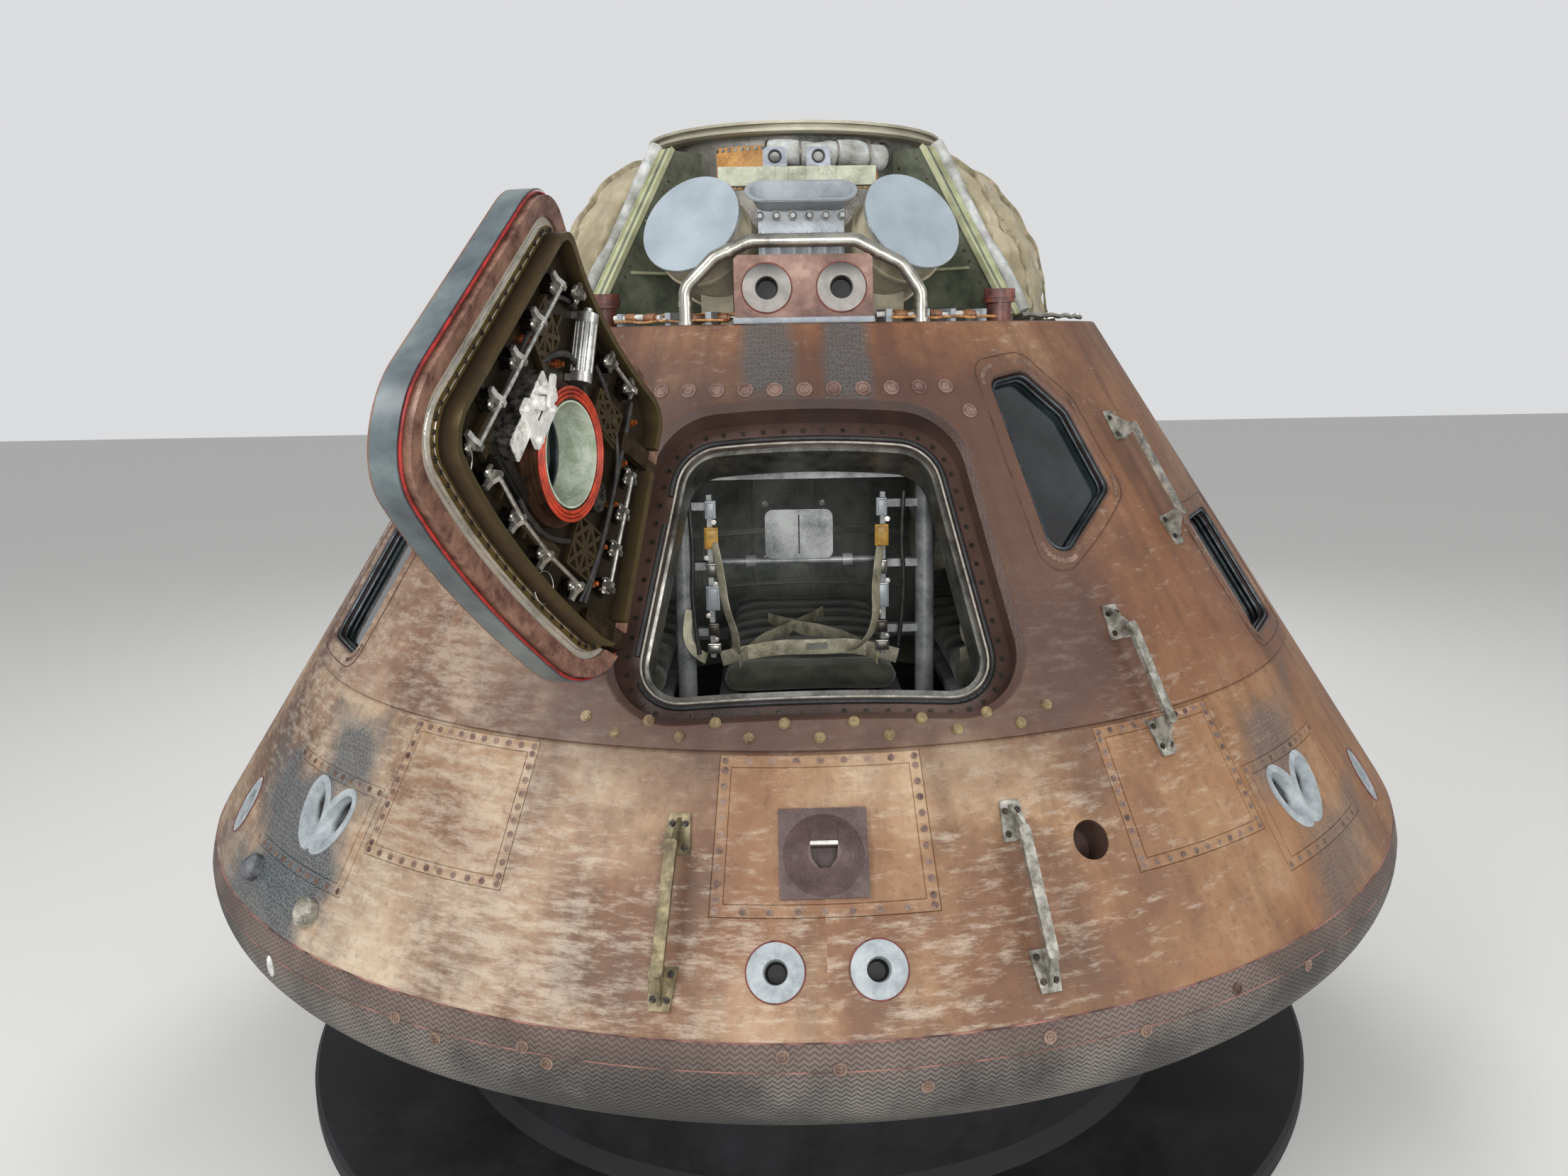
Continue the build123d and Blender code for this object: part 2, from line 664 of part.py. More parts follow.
# Channel beam across the bay, its three tie plates, two arms back to the tunnel and the two
# sighting brackets on it
beam_y, beam_rise, beam_half, beam_h, beam_w = -(rim_r - 365.4), 387.0, 224.0, 52.0, 34.0
beam_wall, tie_w, arm_x, beam_arm_w, beam_arm_t = 8.0, 46.0, 120.0, 26.0, 14.0
arm_len = -beam_y - sqrt(tunnel_r ** 2 - arm_x ** 2) + 20
with BuildPart() as cross_channel:
    at = Plane(origin=(-8, beam_y, bay(beam_rise)), x_dir=(1, 0, 0), z_dir=(0, 0, 1))
    with BuildSketch(at):
        Rectangle(2 * beam_half, beam_w)
    extrude(amount=beam_wall)
    with BuildSketch(at.offset(beam_wall)):
        with Locations((0, (beam_wall - beam_w) / 2)):
            Rectangle(2 * beam_half, beam_wall)
    extrude(amount=beam_h - beam_wall)
    for x in (-86, 0, 86):
        with BuildSketch(at):
            with Locations((x, 2)):
                Rectangle(tie_w, beam_w + 10)
        extrude(amount=beam_h)
        with BuildSketch(at.offset(beam_h / 2 + 4)):
            with Locations((x - 14, -beam_w / 2), (x + 14, -beam_w / 2)):
                Circle(5)
        extrude(amount=6)
    for x in (-arm_x, arm_x):
        with BuildSketch(at):
            with Locations((x + 8, arm_len / 2)):
                Rectangle(beam_arm_w, arm_len)
        extrude(amount=beam_arm_t)
    with BuildSketch(Plane((0, 0, bay(beam_rise - 50)))):
        Circle(tunnel_r + fit_gap)
    extrude(amount=beam_h + 100, mode=Mode.SUBTRACT)
write(cross_channel, "cross_channel")

bracket_w, bracket_h, bracket_t, bracket_foot, bracket_hole = 68.0, 56.0, 16.0, 40.0, 14.0
with BuildPart() as sight_brackets:
    for x in (-70, 54):
        foot = (x, beam_y + 22, bay(beam_rise + beam_h + fit_gap))
        at = Plane(origin=foot, x_dir=(1, 0, 0), z_dir=(0, -1, 0))
        with BuildSketch(at):
            with Locations((0, bracket_h / 2)):
                Rectangle(bracket_w, bracket_h)
                chamfer(vertices().group_by(Axis.Y)[-1], length=10)
            with Locations((0, bracket_h / 2 + 2)):
                Circle(bracket_hole, mode=Mode.SUBTRACT)
        extrude(amount=bracket_t)
        with BuildSketch(at):
            with Locations((0, 3)):
                Rectangle(bracket_w, 6)
        extrude(amount=bracket_foot)
write(sight_brackets, "sight_brackets")

# Bent tube rail in front of the bay: x and rise over the rim of its bends, on two bolted feet
rail_y, rail_r, rail_bend, rail_foot = -(rim_r - 83.4), 18.0, 48.0, 22.0
rail_rows = [
    (-318, fit_gap), (-318, 95), (-238, 174), (-142, 216), (138, 216), (262, 152), (312, 80), (312, fit_gap),
]
with BuildPart() as tube_rail:
    with BuildLine() as rail_path:
        FilletPolyline(*[(x, rail_y, bay(rise)) for x, rise in rail_rows], radius=rail_bend)
    with BuildSketch(Plane(rail_path.line @ 0, z_dir=rail_path.line % 0)):
        Circle(rail_r)
    sweep(path=rail_path.line)
    for x in (rail_rows[0][0], rail_rows[-1][0]):
        with BuildSketch(Plane((x, rail_y, bay(fit_gap)))):
            Circle(rail_foot)
        extrude(amount=10)
write(tube_rail, "tube_rail")

# Upper pitch thruster block with its two nozzles
block_h, block_half, block_back, block_mid = 178.0, 183.0, 148.4, -3.0
block_foot, block_brow = 21.4, 53.4      # of its front, inwards from the rim
upper_nozzles = [-100, 97]
upper_rise, upper_r, upper_throat, block_lean = 92.0, 64.0, 31.0, 10.0
with BuildPart() as thruster_block:
    side = Plane(origin=(block_mid - block_half, 0, 0), x_dir=(0, 1, 0), z_dir=(1, 0, 0))
    with BuildSketch(side):
        with BuildLine():
            Polyline(
                (block_foot - rim_r, bay(fit_gap)), (block_brow - rim_r, bay(block_h)),
                (block_back - rim_r, bay(block_h)), (block_back - rim_r, bay(fit_gap)), close=True,
            )
        make_face()
    extrude(amount=2 * block_half)
    chamfer(edges().filter_by(Axis.Y).group_by(Axis.Z)[-1], length=10)
    lean_dir = (0, -cos(radians(block_lean)), sin(radians(block_lean)))
    face = Plane(origin=(0, 37.4 - rim_r, bay(upper_rise)), x_dir=(1, 0, 0), z_dir=lean_dir)
    for x in upper_nozzles:
        with BuildSketch(face.offset(30)):
            with Locations((x, 0)):
                Circle(upper_r + fit_gap)
        extrude(amount=-70, mode=Mode.SUBTRACT)
write(thruster_block, "thruster_block")

with BuildPart() as upper_nozzle_rings:
    for x in upper_nozzles:
        with BuildSketch(face.offset(3)):
            with Locations((x, 0)):
                Circle(upper_r)
        extrude(amount=-42.5)
        with BuildSketch(face.offset(3)):
            with Locations((x, 0)):
                Circle(upper_throat)
        extrude(amount=-36, taper=8, mode=Mode.SUBTRACT)
write(upper_nozzle_rings, "upper_nozzle_rings")

# Lagged duct that lies round the tunnel under the top ring
duct_r, duct_rise = 41.0, 496.0
duct_line = tunnel_r + duct_r + fit_gap
with BuildPart() as lagged_duct:
    with BuildSketch(radial_plane(-12)):
        with Locations((duct_line, bay(duct_rise))):
            Circle(duct_r)
    revolve(axis=Axis.Z, revolution_arc=46)
write(lagged_duct, "lagged_duct")

# Soft packs that fill the three other bays: name, azimuth from, to
pack_rows = [("side_pack_right", 50, 130), ("rear_pack", 140, 220), ("side_pack_left", 230, 310)]
for name, az0, az1 in pack_rows:
    with BuildPart() as pack:
        with BuildSketch(radial_plane(az0)):
            ring_face([
                (tunnel_r + 4, rim_height + fit_gap), (rim_r - 115, rim_height + fit_gap),
                (rim_r - 141, rim_height + 50), (rim_r - 186, rim_height + 210), (rim_r - 245, rim_height + 330),
                (rim_r - 311, rim_height + 425), (tunnel_r + 150, rim_height + 520),
                (tunnel_r + 4, rim_height + 540),
            ])
        revolve(axis=Axis.Z, revolution_arc=az1 - az0)
    write(pack, name)

# Capped cups on the rim at the two front gussets
cup_az, cup_in, cup_r, cup_h, cap_r, cap_h = 38.5, 83.4, 34.0, 52.0, 44.0, 38.0
with BuildPart() as rim_cups:
    for az in (-cup_az, cup_az):
        spot = radial_plane(az).from_local_coords((rim_r - cup_in, bay(fit_gap), 0))
        with BuildSketch(Plane(spot)):
            Circle(cup_r)
        extrude(amount=cup_h)
        with BuildSketch(Plane(spot).offset(cup_h)):
            Circle(cap_r)
        extrude(amount=cap_h)
        with BuildSketch(Plane(spot).offset(cup_h + 12)):
            Circle(cap_r + 3)
        extrude(amount=7)
write(rim_cups, "rim_cups")

# Hatch, modelled shut and then swung open about its hinge line
hinge_az = degrees(asin(hinge_x / cone_r(hinge_height)))
hinge_base = skin_plane(hinge_az, hinge_height, hinge_out)
lean = radians(hinge_lean)
hinge_dir = hinge_base.y_dir * cos(lean) - hinge_base.x_dir * sin(lean)
hinge_axis = Axis(hinge_base.origin, hinge_dir)


def swing_and_write(piece, name):
    with BuildPart() as opened:
        add(piece.part.rotate(hinge_axis, -hatch_open))
    write(opened, name)


def hatch_layer(inset, near, far, bore=0.0):
    """Rounded plate or band of the hatch between two depths under the skin."""
    with BuildSketch(skin_plane(0, hatch_mid)) as outside:
        hatch_outline(inset)
    extrude(outside.sketch, amount=300, both=True)
    if bore:
        with BuildSketch(skin_plane(0, hatch_mid)) as inside:
            hatch_outline(inset + bore)
        extrude(inside.sketch, amount=300, both=True, mode=Mode.SUBTRACT)
    with BuildSketch(Plane.XZ) as layer:
        ring_face(layer_rows(girth_seam - 60, rim_height, near, far))
    revolve(layer.sketch, axis=Axis.Z, mode=Mode.INTERSECT)


port_at = (0.0, 1530.0)
port_r, port_ring = 118.0, 34.0
arm_rows = [1330.0, 1690.0]       # heights of the two hinge arms
arm_w, notch_w, notch_d, structure_notch = 44.0, 60.0, 92.0, 172.0


def cut_port(r):
    with BuildSketch(skin_plane(*port_at)) as hole:
        Circle(r)
    extrude(hole.sketch, amount=300, both=True, mode=Mode.SUBTRACT)


def hinge_point(height):
    """Point on the hinge line at a height."""
    drop = (height - hinge_height) / hinge_dir.Z
    return hinge_base.origin + hinge_dir * drop


def arm_plane(height):
    """Plane square to the hinge line: x runs to the right, y outwards."""
    x_dir = (hinge_base.z_dir.cross(hinge_dir) * -1).normalized()
    return Plane(hinge_point(height), x_dir=x_dir, z_dir=-hinge_dir)


def cut_notches(reach):
    """Notches for the hinge arms, from the hatch's edge to a distance from the hinge line."""
    for height in arm_rows:
        with BuildSketch(arm_plane(height)) as notch:
            with Locations((reach / 2 - 20, -60)):
                Rectangle(reach + 40, 260)
        extrude(notch.sketch, amount=notch_w / 2, both=True, mode=Mode.SUBTRACT)


with BuildPart() as hatch_shield_shut:
    hatch_layer(hatch_gap, 0, hatch_shield_t)
    cut_port(port_r)
    cut_notches(notch_d)
swing_and_write(hatch_shield_shut, "hatch_shield")

seal_inset, seal_w, seal_t = 20.0, 40.0, 20.7
with BuildPart() as hatch_seal_shut:
    hatch_layer(seal_inset, hatch_shield_t + fit_gap, hatch_shield_t + seal_t, seal_w)
    cut_notches(notch_d)
swing_and_write(hatch_seal_shut, "hatch_seal")

# Inner pan: steps down from the seal to the pan face, with an upright rim round it and ribs that
# stand on the face. Each rib: middle right and up the slope, length right and up the slope.
pan_face = 92.0
frame_clear = 14.0
band_inset = sill + frame_t + frame_clear
rim_w, rim_depth = 16.0, 128.0
step_rows = [(seal_inset + seal_w + fit_gap, 70.0), (78.0, 82.0), (band_inset, pan_face)]
rib_depth = 108.0
rib_rows = [
    (-100, 172, 7, 110), (-150, 118, 94, 7), (150, 150, 7, 90), (-120, -224, 7, 36), (0, -228, 7, 52),
    (120, -224, 7, 36), (-222, -150, 60, 7),
]
with BuildPart() as pan_rim:
    hatch_layer(band_inset, pan_face - 2, rim_depth, rim_w)
with BuildPart() as pan_ribs:
    for x, y, length, height in rib_rows:
        with BuildSketch(skin_plane(0, hatch_mid)):
            with Locations((x, y)):
                Rectangle(length, height)
        extrude(amount=300, both=True)
    with BuildSketch(Plane.XZ):
        ring_face(layer_rows(girth_seam - 60, rim_height, pan_face - 2, rib_depth))
    revolve(axis=Axis.Z, mode=Mode.INTERSECT)
pan_steps = []
for inset, depth in step_rows:
    with BuildPart() as step:
        hatch_layer(inset, hatch_shield_t + fit_gap, depth)
    pan_steps.append(step.part)
with BuildPart() as hatch_structure_shut:
    for step in pan_steps:
        add(step)
    add(pan_rim.part)
    add(pan_ribs.part)
    cut_port(port_r + port_ring + fit_gap)
    cut_notches(structure_notch)
swing_and_write(hatch_structure_shut, "hatch_structure")


def pan_plane(x, height, depth, turn=0.0):
    """Plane on the hatch's inner face, seen from the cabin: x turned from the right, z inwards."""
    az = degrees(asin(x / cone_r(height, depth)))
    base = skin_plane(az, height, -depth)
    a = radians(turn)
    return Plane(base.origin, x_dir=base.y_dir * sin(a) - base.x_dir * cos(a), z_dir=base.z_dir * -1)


# Port ring: flange, collar with two grooves, and the inner lip that holds the glass
port_outer = port_r + port_ring
port_back = hatch_shield_t + fit_gap + port_outer ** 2 * c33 / (2 * cone_r(port_at[1])) + 0.2
port_flange, port_front, port_collar = 118.0, 150.0, 17.0
with BuildPart() as hatch_port_shut:
    for outer, far in ((port_outer, port_flange), (port_outer - port_collar, port_front)):
        with BuildSketch(skin_plane(*port_at, -far)):
            Circle(outer)
            Circle(port_r - 6, mode=Mode.SUBTRACT)
        extrude(amount=far - port_back)
    for depth in (port_front - 8, port_front - 20):
        with BuildSketch(skin_plane(*port_at, -depth)):
            Circle(port_outer)
            Circle(port_outer - port_collar - 5, mode=Mode.SUBTRACT)
        extrude(amount=5, mode=Mode.SUBTRACT)
swing_and_write(hatch_port_shut, "hatch_port_ring")

with BuildPart() as hatch_glass_shut:
    with BuildSketch(skin_plane(*port_at, -52)):
        Circle(port_r - fit_gap)
    extrude(amount=12)
swing_and_write(hatch_glass_shut, "hatch_window")

# Latches round the hatch: offset to the right, height, and the turn of the side each one faces.
# Each is a base with two ears, a pin and a hooked crank; push rods link the cranks of one side.
latch_sides = [
    [(309 - 17 * k, 1340 + 95 * k, 180) for k in range(5)],
    [(-300 + 14 * k, 1400 + 75 * k, 0) for k in range(4)],
    [(-162, 1783, 90), (-64, 1783, 90)],
    [(144, 1783, 90)],
    [(-199 + 133 * k, 1354, -90) for k in range(4)],
]
latch_l, latch_w, latch_base, ear_t, ear_h, ear_at = 44.0, 34.0, 6.0, 5.0, 24.0, 13.0
pin_h, pin_half, latch_pin_r, crank_t, rod_r, rod_h = 22.0, 19.0, 7.0, 12.0, 5.0, 40.0
with BuildPart() as hatch_latches_shut:
    for rows in latch_sides:
        ends = []
        for x, height, turn in rows:
            seat = pan_plane(x, height, pan_face + fit_gap + 0.4, turn)
            with BuildSketch(seat):
                Rectangle(latch_l, latch_w)
            extrude(amount=latch_base)
            with BuildSketch(seat.offset(latch_base)):
                with Locations((-4, -ear_at), (-4, ear_at)):
                    Rectangle(28, ear_t)
            extrude(amount=ear_h)
            across = Plane(seat.origin, x_dir=seat.x_dir, z_dir=seat.y_dir * -1)
            with BuildSketch(across):
                with Locations((-4, pin_h)):
                    Circle(latch_pin_r)
            extrude(amount=pin_half, both=True)
            with BuildSketch(across):
                Polygon(
                    (-13, pin_h - 6), (6, pin_h - 8), (16, pin_h + 2), (28, pin_h), (28, pin_h + 9),
                    (12, pin_h + 14), (0, rod_h + 8), (-13, rod_h + 8), align=None,
                )
            extrude(amount=crank_t / 2, both=True)
            ends.append(seat.origin + seat.z_dir * rod_h - seat.x_dir * 6)
        for start, stop in zip(ends, ends[1:]):
            along = (stop - start).normalized()
            clear = crank_t / 2 + 0.75
            with BuildSketch(Plane(start + along * clear, z_dir=along)):
                Circle(rod_r)
            extrude(amount=(stop - start).length - 2 * clear)
swing_and_write(hatch_latches_shut, "hatch_latches")

# Gearbox beside the port: body, screwed L plate, two levers with their bosses, and a ratchet dial
# on the other side of the port
gear_x, gear_height, gear_w, gear_l, gear_h, plate_t = 200.0, 1476.0, 58.0, 190.0, 60.0, 9.0
dial_at, dial_r, dial_t, dial_teeth = (-193.0, 1550.0), 36.0, 14.0, 18
with BuildPart() as hatch_gearbox_shut:
    seat = pan_plane(gear_x, gear_height, pan_face + 0.8)
    with BuildSketch(seat):
        RectangleRounded(gear_w, gear_l, 8)
    extrude(amount=gear_h)
    top = seat.offset(gear_h)
    with BuildSketch(top):
        Polygon((-48, -30), (66, -30), (66, 78), (34, 78), (34, 4), (-48, 4), align=None)
        fillet(vertices(), radius=5)
    extrude(amount=plate_t)
    for x, y, r in ((-36, -14, 7), (52, -14, 7), (50, 66, 7), (0, 34, 13), (6, 78, 12)):
        with BuildSketch(top):
            with Locations((x, y)):
                Circle(r)
        extrude(amount=plate_t + 6)
    for x, y, length, turn, rise in ((14, 52, 74, 62, 10), (-8, 60, 66, 128, 20)):
        with BuildSketch(top.offset(rise - 0.5)):
            with Locations(Location((x, y, 0), (0, 0, turn))):
                SlotOverall(length, 17)
        extrude(amount=8)
    with BuildSketch(top):
        with Locations((-8, 60)):
            Circle(9)
    extrude(amount=30)
    dial = pan_plane(*dial_at, pan_face + 0.8)
    with BuildSketch(dial):
        Circle(dial_r)
        with PolarLocations(dial_r, dial_teeth):
            Rectangle(7, 4, mode=Mode.SUBTRACT)
    extrude(amount=dial_t)
    with BuildSketch(dial.offset(dial_t)):
        Circle(dial_r / 2)
    extrude(amount=8)
    with BuildSketch(dial.offset(dial_t)):
        RegularPolygon(9, 6)
    extrude(amount=18)
swing_and_write(hatch_gearbox_shut, "hatch_gearbox")

# Fluted gas cylinder near the top edge of the hatch, on a clevis and a strap
gas_at, gas_r, gas_low, gas_high, flute_r, flutes = (46.7, 1738.0), 24.0, -80.0, 70.0, 3.6, 14
with BuildPart() as hatch_gas_cylinder_shut:
    seat = pan_plane(*gas_at, pan_face + 30.0)
    along = Plane(seat.origin, x_dir=seat.z_dir, z_dir=(seat.y_dir * 0.9 - seat.x_dir * 0.44).normalized())
    with BuildSketch(along.offset(gas_low)):
        Circle(gas_r)
    extrude(amount=gas_high - gas_low)
    with BuildSketch(along.offset(gas_low + 22)):
        with PolarLocations(gas_r, flutes):
            Circle(flute_r)
    extrude(amount=gas_high - gas_low - 44, mode=Mode.SUBTRACT)
    for end in (gas_low, gas_high - 15):
        with BuildSketch(along.offset(end)):
            with Locations((-8, 0)):
                Rectangle(41, 40)
        extrude(amount=15)
    with BuildSketch(along.offset(gas_high)):
        Circle(10)
    extrude(amount=12)
swing_and_write(hatch_gas_cylinder_shut, "hatch_gas_cylinder")

# Hinge arms on the hatch and lugs on the cone, one pair at each height
pin_r, lug_r, arm_eye, arm_tip = 12.0, 26.0, 24.0, 210.0
lug_t, lug_gap = 14.0, 6.0
pan_drop = hinge_out + pan_face
arm_line = [
    (0, arm_eye), (44, 18), (62, 2), (62, -100), (122, -104), (122, -pan_drop - 6.4),
    (arm_tip, -pan_drop - 17.0), (arm_tip, -pan_drop - 33), (106, -pan_drop - 24), (86, -128), (50, -128),
    (38, -116), (38, -14), (20, -arm_eye), (0, -arm_eye),
]
with BuildPart() as hinge_arms_shut:
    for height in arm_rows:
        plane = arm_plane(height)
        with BuildSketch(plane):
            with BuildLine():
                Polyline(*arm_line, close=True)
            make_face()
            Circle(arm_eye)
            Circle(pin_r + 0.05, mode=Mode.SUBTRACT)
        extrude(amount=arm_w / 2, both=True)
swing_and_write(hinge_arms_shut, "hinge_arms")

with BuildPart() as hinge_lugs:
    for height in arm_rows:
        plane = arm_plane(height)
        for side in (-1, 1):
            with BuildSketch(plane.offset(side * (arm_w / 2 + lug_gap + lug_t / 2))):
                with BuildLine():
                    Polyline((-60, -hinge_out - 8), (10, -hinge_out - 8), (lug_r - 2, -6), (-lug_r, 8), close=True)
                make_face()
                Circle(lug_r)
            extrude(amount=lug_t / 2, both=True)
        with BuildSketch(plane):
            Circle(pin_r)
        extrude(amount=arm_w / 2 + lug_gap + lug_t, both=True)
    with BuildSketch(Plane.XZ):
        ring_face(layer_rows(girth_seam, rim_height, -fit_gap, shield))
    revolve(axis=Axis.Z, mode=Mode.SUBTRACT)
write(hinge_lugs, "hinge_lugs")

# Cabin: three couches in a row, set so that their foot corners clear the wall
couch_z, couch_t, couch_w, couch_l, couch_gap, couch_clear = 1080.0, 90.0, 540.0, 1040.0, 115.0, 41.0
couch_x = [-(couch_w + couch_gap), 0, couch_w + couch_gap]
couch_corner = couch_x[-1] + couch_w / 2
cabin_r = cone_r(couch_z + couch_t, wall) - couch_clear
couch_y = couch_l / 2 - sqrt(cabin_r ** 2 - couch_corner ** 2)
with BuildPart() as couch_pads:
    for x in couch_x:
        with BuildSketch(Plane((x, couch_y, level(couch_z)))):
            RectangleRounded(couch_w, couch_l, 60)
        extrude(amount=couch_t)
write(couch_pads, "couch_pads")

# Couch frame: pad frames on two cross beams and four legs, and in front two tall tubes with a bar
# over them, two side plates and the headrest between them
strut_r, strut_x, strut_top, leg_r = 27.0, (-352.0, 330.0), 1690.0, 26.0
frame_h, beam_deep, beam_thick = 24.0, 50.0, 40.0
beam_under = couch_z - fit_gap - frame_h - beam_thick
strut_y, leg_x = couch_y - couch_l / 2 + 100, 820.0
side_plates = (-274.0, 209.0)
plate_low, plate_high, side_t, side_deep = 1185.0, 1650.0, 14.0, 62.0
rest_low, rest_w, rest_h, rest_x, rest_bar = 1462.0, 190.0, 140.0, -25.0, 9.0
with BuildPart() as couch_frame:
    for x in couch_x:
        with BuildSketch(Plane((x, couch_y, level(couch_z - fit_gap - frame_h)))):
            RectangleRounded(couch_w - 20, couch_l - 20, 50)
            RectangleRounded(couch_w - 120, couch_l - 120, 30, mode=Mode.SUBTRACT)
        extrude(amount=frame_h)
    for y in (couch_y - couch_l / 2 + 50, couch_y + couch_l / 2 - 50):
        with BuildSketch(Plane((0, y, level(beam_under)))):
            Rectangle(2 * (leg_x + 50), beam_deep)
        extrude(amount=beam_thick)
        for x in (-leg_x, leg_x):
            with BuildSketch(Plane((x, y, level(deck)))):
                Circle(leg_r)
            extrude(amount=beam_under - deck)
    for x in strut_x:
        with BuildSketch(Plane((x, strut_y, level(deck)))):
            Circle(strut_r)
        extrude(amount=strut_top - deck)
    with BuildSketch(Plane((sum(strut_x) / 2, strut_y, level(strut_top)))):
        RectangleRounded(strut_x[1] - strut_x[0] + 2 * strut_r + 12, 2 * strut_r, 8)
    extrude(amount=38)
    for plate_x, tube_x in zip(side_plates, strut_x):
        with BuildSketch(Plane((plate_x, strut_y, level(plate_low)))):
            Rectangle(side_t, side_deep)
        extrude(amount=plate_high - plate_low)
        for rise in (60, 250, 420):
            with BuildSketch(Plane(((plate_x + tube_x) / 2, strut_y, level(plate_low + rise)))):
                Rectangle(abs(plate_x - tube_x), 30)
            extrude(amount=22)
    rest = Plane((rest_x, strut_y, level(rest_low)), x_dir=(1, 0, 0), z_dir=(0, -1, 0))
    with BuildSketch(rest):
        with Locations((0, rest_h / 2)):
            RectangleRounded(rest_w, rest_h, 22)
            Rectangle(4, rest_h - 30, mode=Mode.SUBTRACT)
    extrude(amount=11, both=True)
    bar = Plane((side_plates[0], strut_y, level(rest_low - 6)), x_dir=(0, 1, 0), z_dir=(1, 0, 0))
    with BuildSketch(bar):
        Circle(rest_bar)
    extrude(amount=side_plates[1] - side_plates[0])
    for x in (rest_x - 150, rest_x + 122):
        with BuildSketch(bar.offset(x - side_plates[0])):
            Circle(18)
        extrude(amount=28)
write(couch_frame, "couch_frame")

# Display console under the tunnel's foot, over the couches
console_half, console_front = 560.0, rim_r - 423.4
console_top = tunnel_foot - fit_gap
with BuildPart() as display_console:
    with BuildSketch(Plane.YZ):
        with BuildLine():
            Polyline(
                (-console_front, level(console_top)), (-console_front - 80, level(console_top - 264.7)),
                (-console_front + 20, level(console_top - 324.7)), (-console_front + 260, level(console_top - 84.7)),
                (-console_front + 320, level(console_top)), close=True,
            )
        make_face()
    extrude(amount=console_half, both=True)
write(display_console, "display_console")

# Lockers behind the couches and consoles along both sides: inner radius and top
locker_in, locker_top, locker_az, locker_arc = 820.0, 1560.0, 125, 110
side_in, side_top, side_rows, side_arc = 1120.0, 1120.0, (62, -98), 36


def wall_block(az, arc, inner, top):
    """Block between the cabin wall and an inner radius, from the floor up."""
    with BuildSketch(radial_plane(az)) as cut:
        ring_face([
            (inner, deck), (cone_r(deck, wall + fit_gap), deck), (cone_r(top, wall + fit_gap), top), (inner, top),
        ])
    revolve(cut.sketch, axis=Axis.Z, revolution_arc=arc)


with BuildPart() as rear_lockers:
    wall_block(locker_az, locker_arc, locker_in, locker_top)
write(rear_lockers, "rear_lockers")

with BuildPart() as side_consoles:
    for az in side_rows:
        wall_block(az, side_arc, side_in, side_top)
write(side_consoles, "side_consoles")
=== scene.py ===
import json
from math import asin, atan2, cos, degrees, pi, radians, sin, sqrt, tan

import bpy
from mathutils import Matrix, Vector, noise


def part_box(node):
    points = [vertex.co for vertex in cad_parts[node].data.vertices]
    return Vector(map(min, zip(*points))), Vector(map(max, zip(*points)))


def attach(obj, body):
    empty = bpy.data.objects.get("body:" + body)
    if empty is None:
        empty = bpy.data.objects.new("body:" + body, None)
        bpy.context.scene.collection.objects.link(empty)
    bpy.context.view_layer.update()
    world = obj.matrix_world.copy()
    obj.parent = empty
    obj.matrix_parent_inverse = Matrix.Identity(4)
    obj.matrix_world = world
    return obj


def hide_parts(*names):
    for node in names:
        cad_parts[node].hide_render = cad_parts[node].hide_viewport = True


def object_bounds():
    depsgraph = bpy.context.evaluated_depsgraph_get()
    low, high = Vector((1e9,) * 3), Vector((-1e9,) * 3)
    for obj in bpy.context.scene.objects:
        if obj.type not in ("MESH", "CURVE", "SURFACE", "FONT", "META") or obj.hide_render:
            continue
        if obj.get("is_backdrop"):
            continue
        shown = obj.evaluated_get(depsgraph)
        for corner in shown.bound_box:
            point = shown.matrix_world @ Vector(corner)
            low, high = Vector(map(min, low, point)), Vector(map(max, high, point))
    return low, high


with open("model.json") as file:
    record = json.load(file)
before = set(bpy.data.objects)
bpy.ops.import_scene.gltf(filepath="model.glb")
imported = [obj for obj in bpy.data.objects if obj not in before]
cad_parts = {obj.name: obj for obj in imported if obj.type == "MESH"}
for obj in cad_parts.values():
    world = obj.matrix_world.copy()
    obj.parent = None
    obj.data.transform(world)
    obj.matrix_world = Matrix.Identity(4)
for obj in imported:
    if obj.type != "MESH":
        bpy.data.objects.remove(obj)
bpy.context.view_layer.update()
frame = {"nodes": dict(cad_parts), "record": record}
node = frame["nodes"]

# Camera: stands in front of the hatch side at eye height and looks down a little, as in the
# photograph, with a wide lens.
camera_at = (-0.0882, -4.2100, 2.3955)
camera_turn = (radians(78.694), radians(0.910), radians(-1.772))
bpy.ops.object.camera_add(location=camera_at, rotation=camera_turn)
camera = bpy.context.object
camera.data.sensor_width = 36.0
camera.data.lens = 27.70
camera.data.shift_x = -0.0168
camera.data.shift_y = -0.0042
camera.data.clip_end = 100.0
bpy.context.scene.camera = camera
bpy.context.scene.view_settings.view_transform = "Standard"

# Studio: a pale paper floor, a grey-white world, and soft lamps from the left, the right and behind.


def linear(code):
    """An sRGB hex colour as linear red, green, blue and alpha."""
    parts = [int(code[k:k + 2], 16) / 255 for k in (1, 3, 5)]
    return [p / 12.92 if p <= 0.04045 else ((p + 0.055) / 1.055) ** 2.4 for p in parts] + [1.0]


def set_inputs(tree, made, sockets):
    """Sets inputs of a node. A socket, or another node's main output, is linked to them."""
    for key, value in sockets.items():
        if isinstance(value, bpy.types.Node):
            value = next(output for output in value.outputs if output.enabled)
        if isinstance(value, bpy.types.NodeSocket):
            tree.links.new(value, made.inputs[key])
        else:
            made.inputs[key].default_value = value


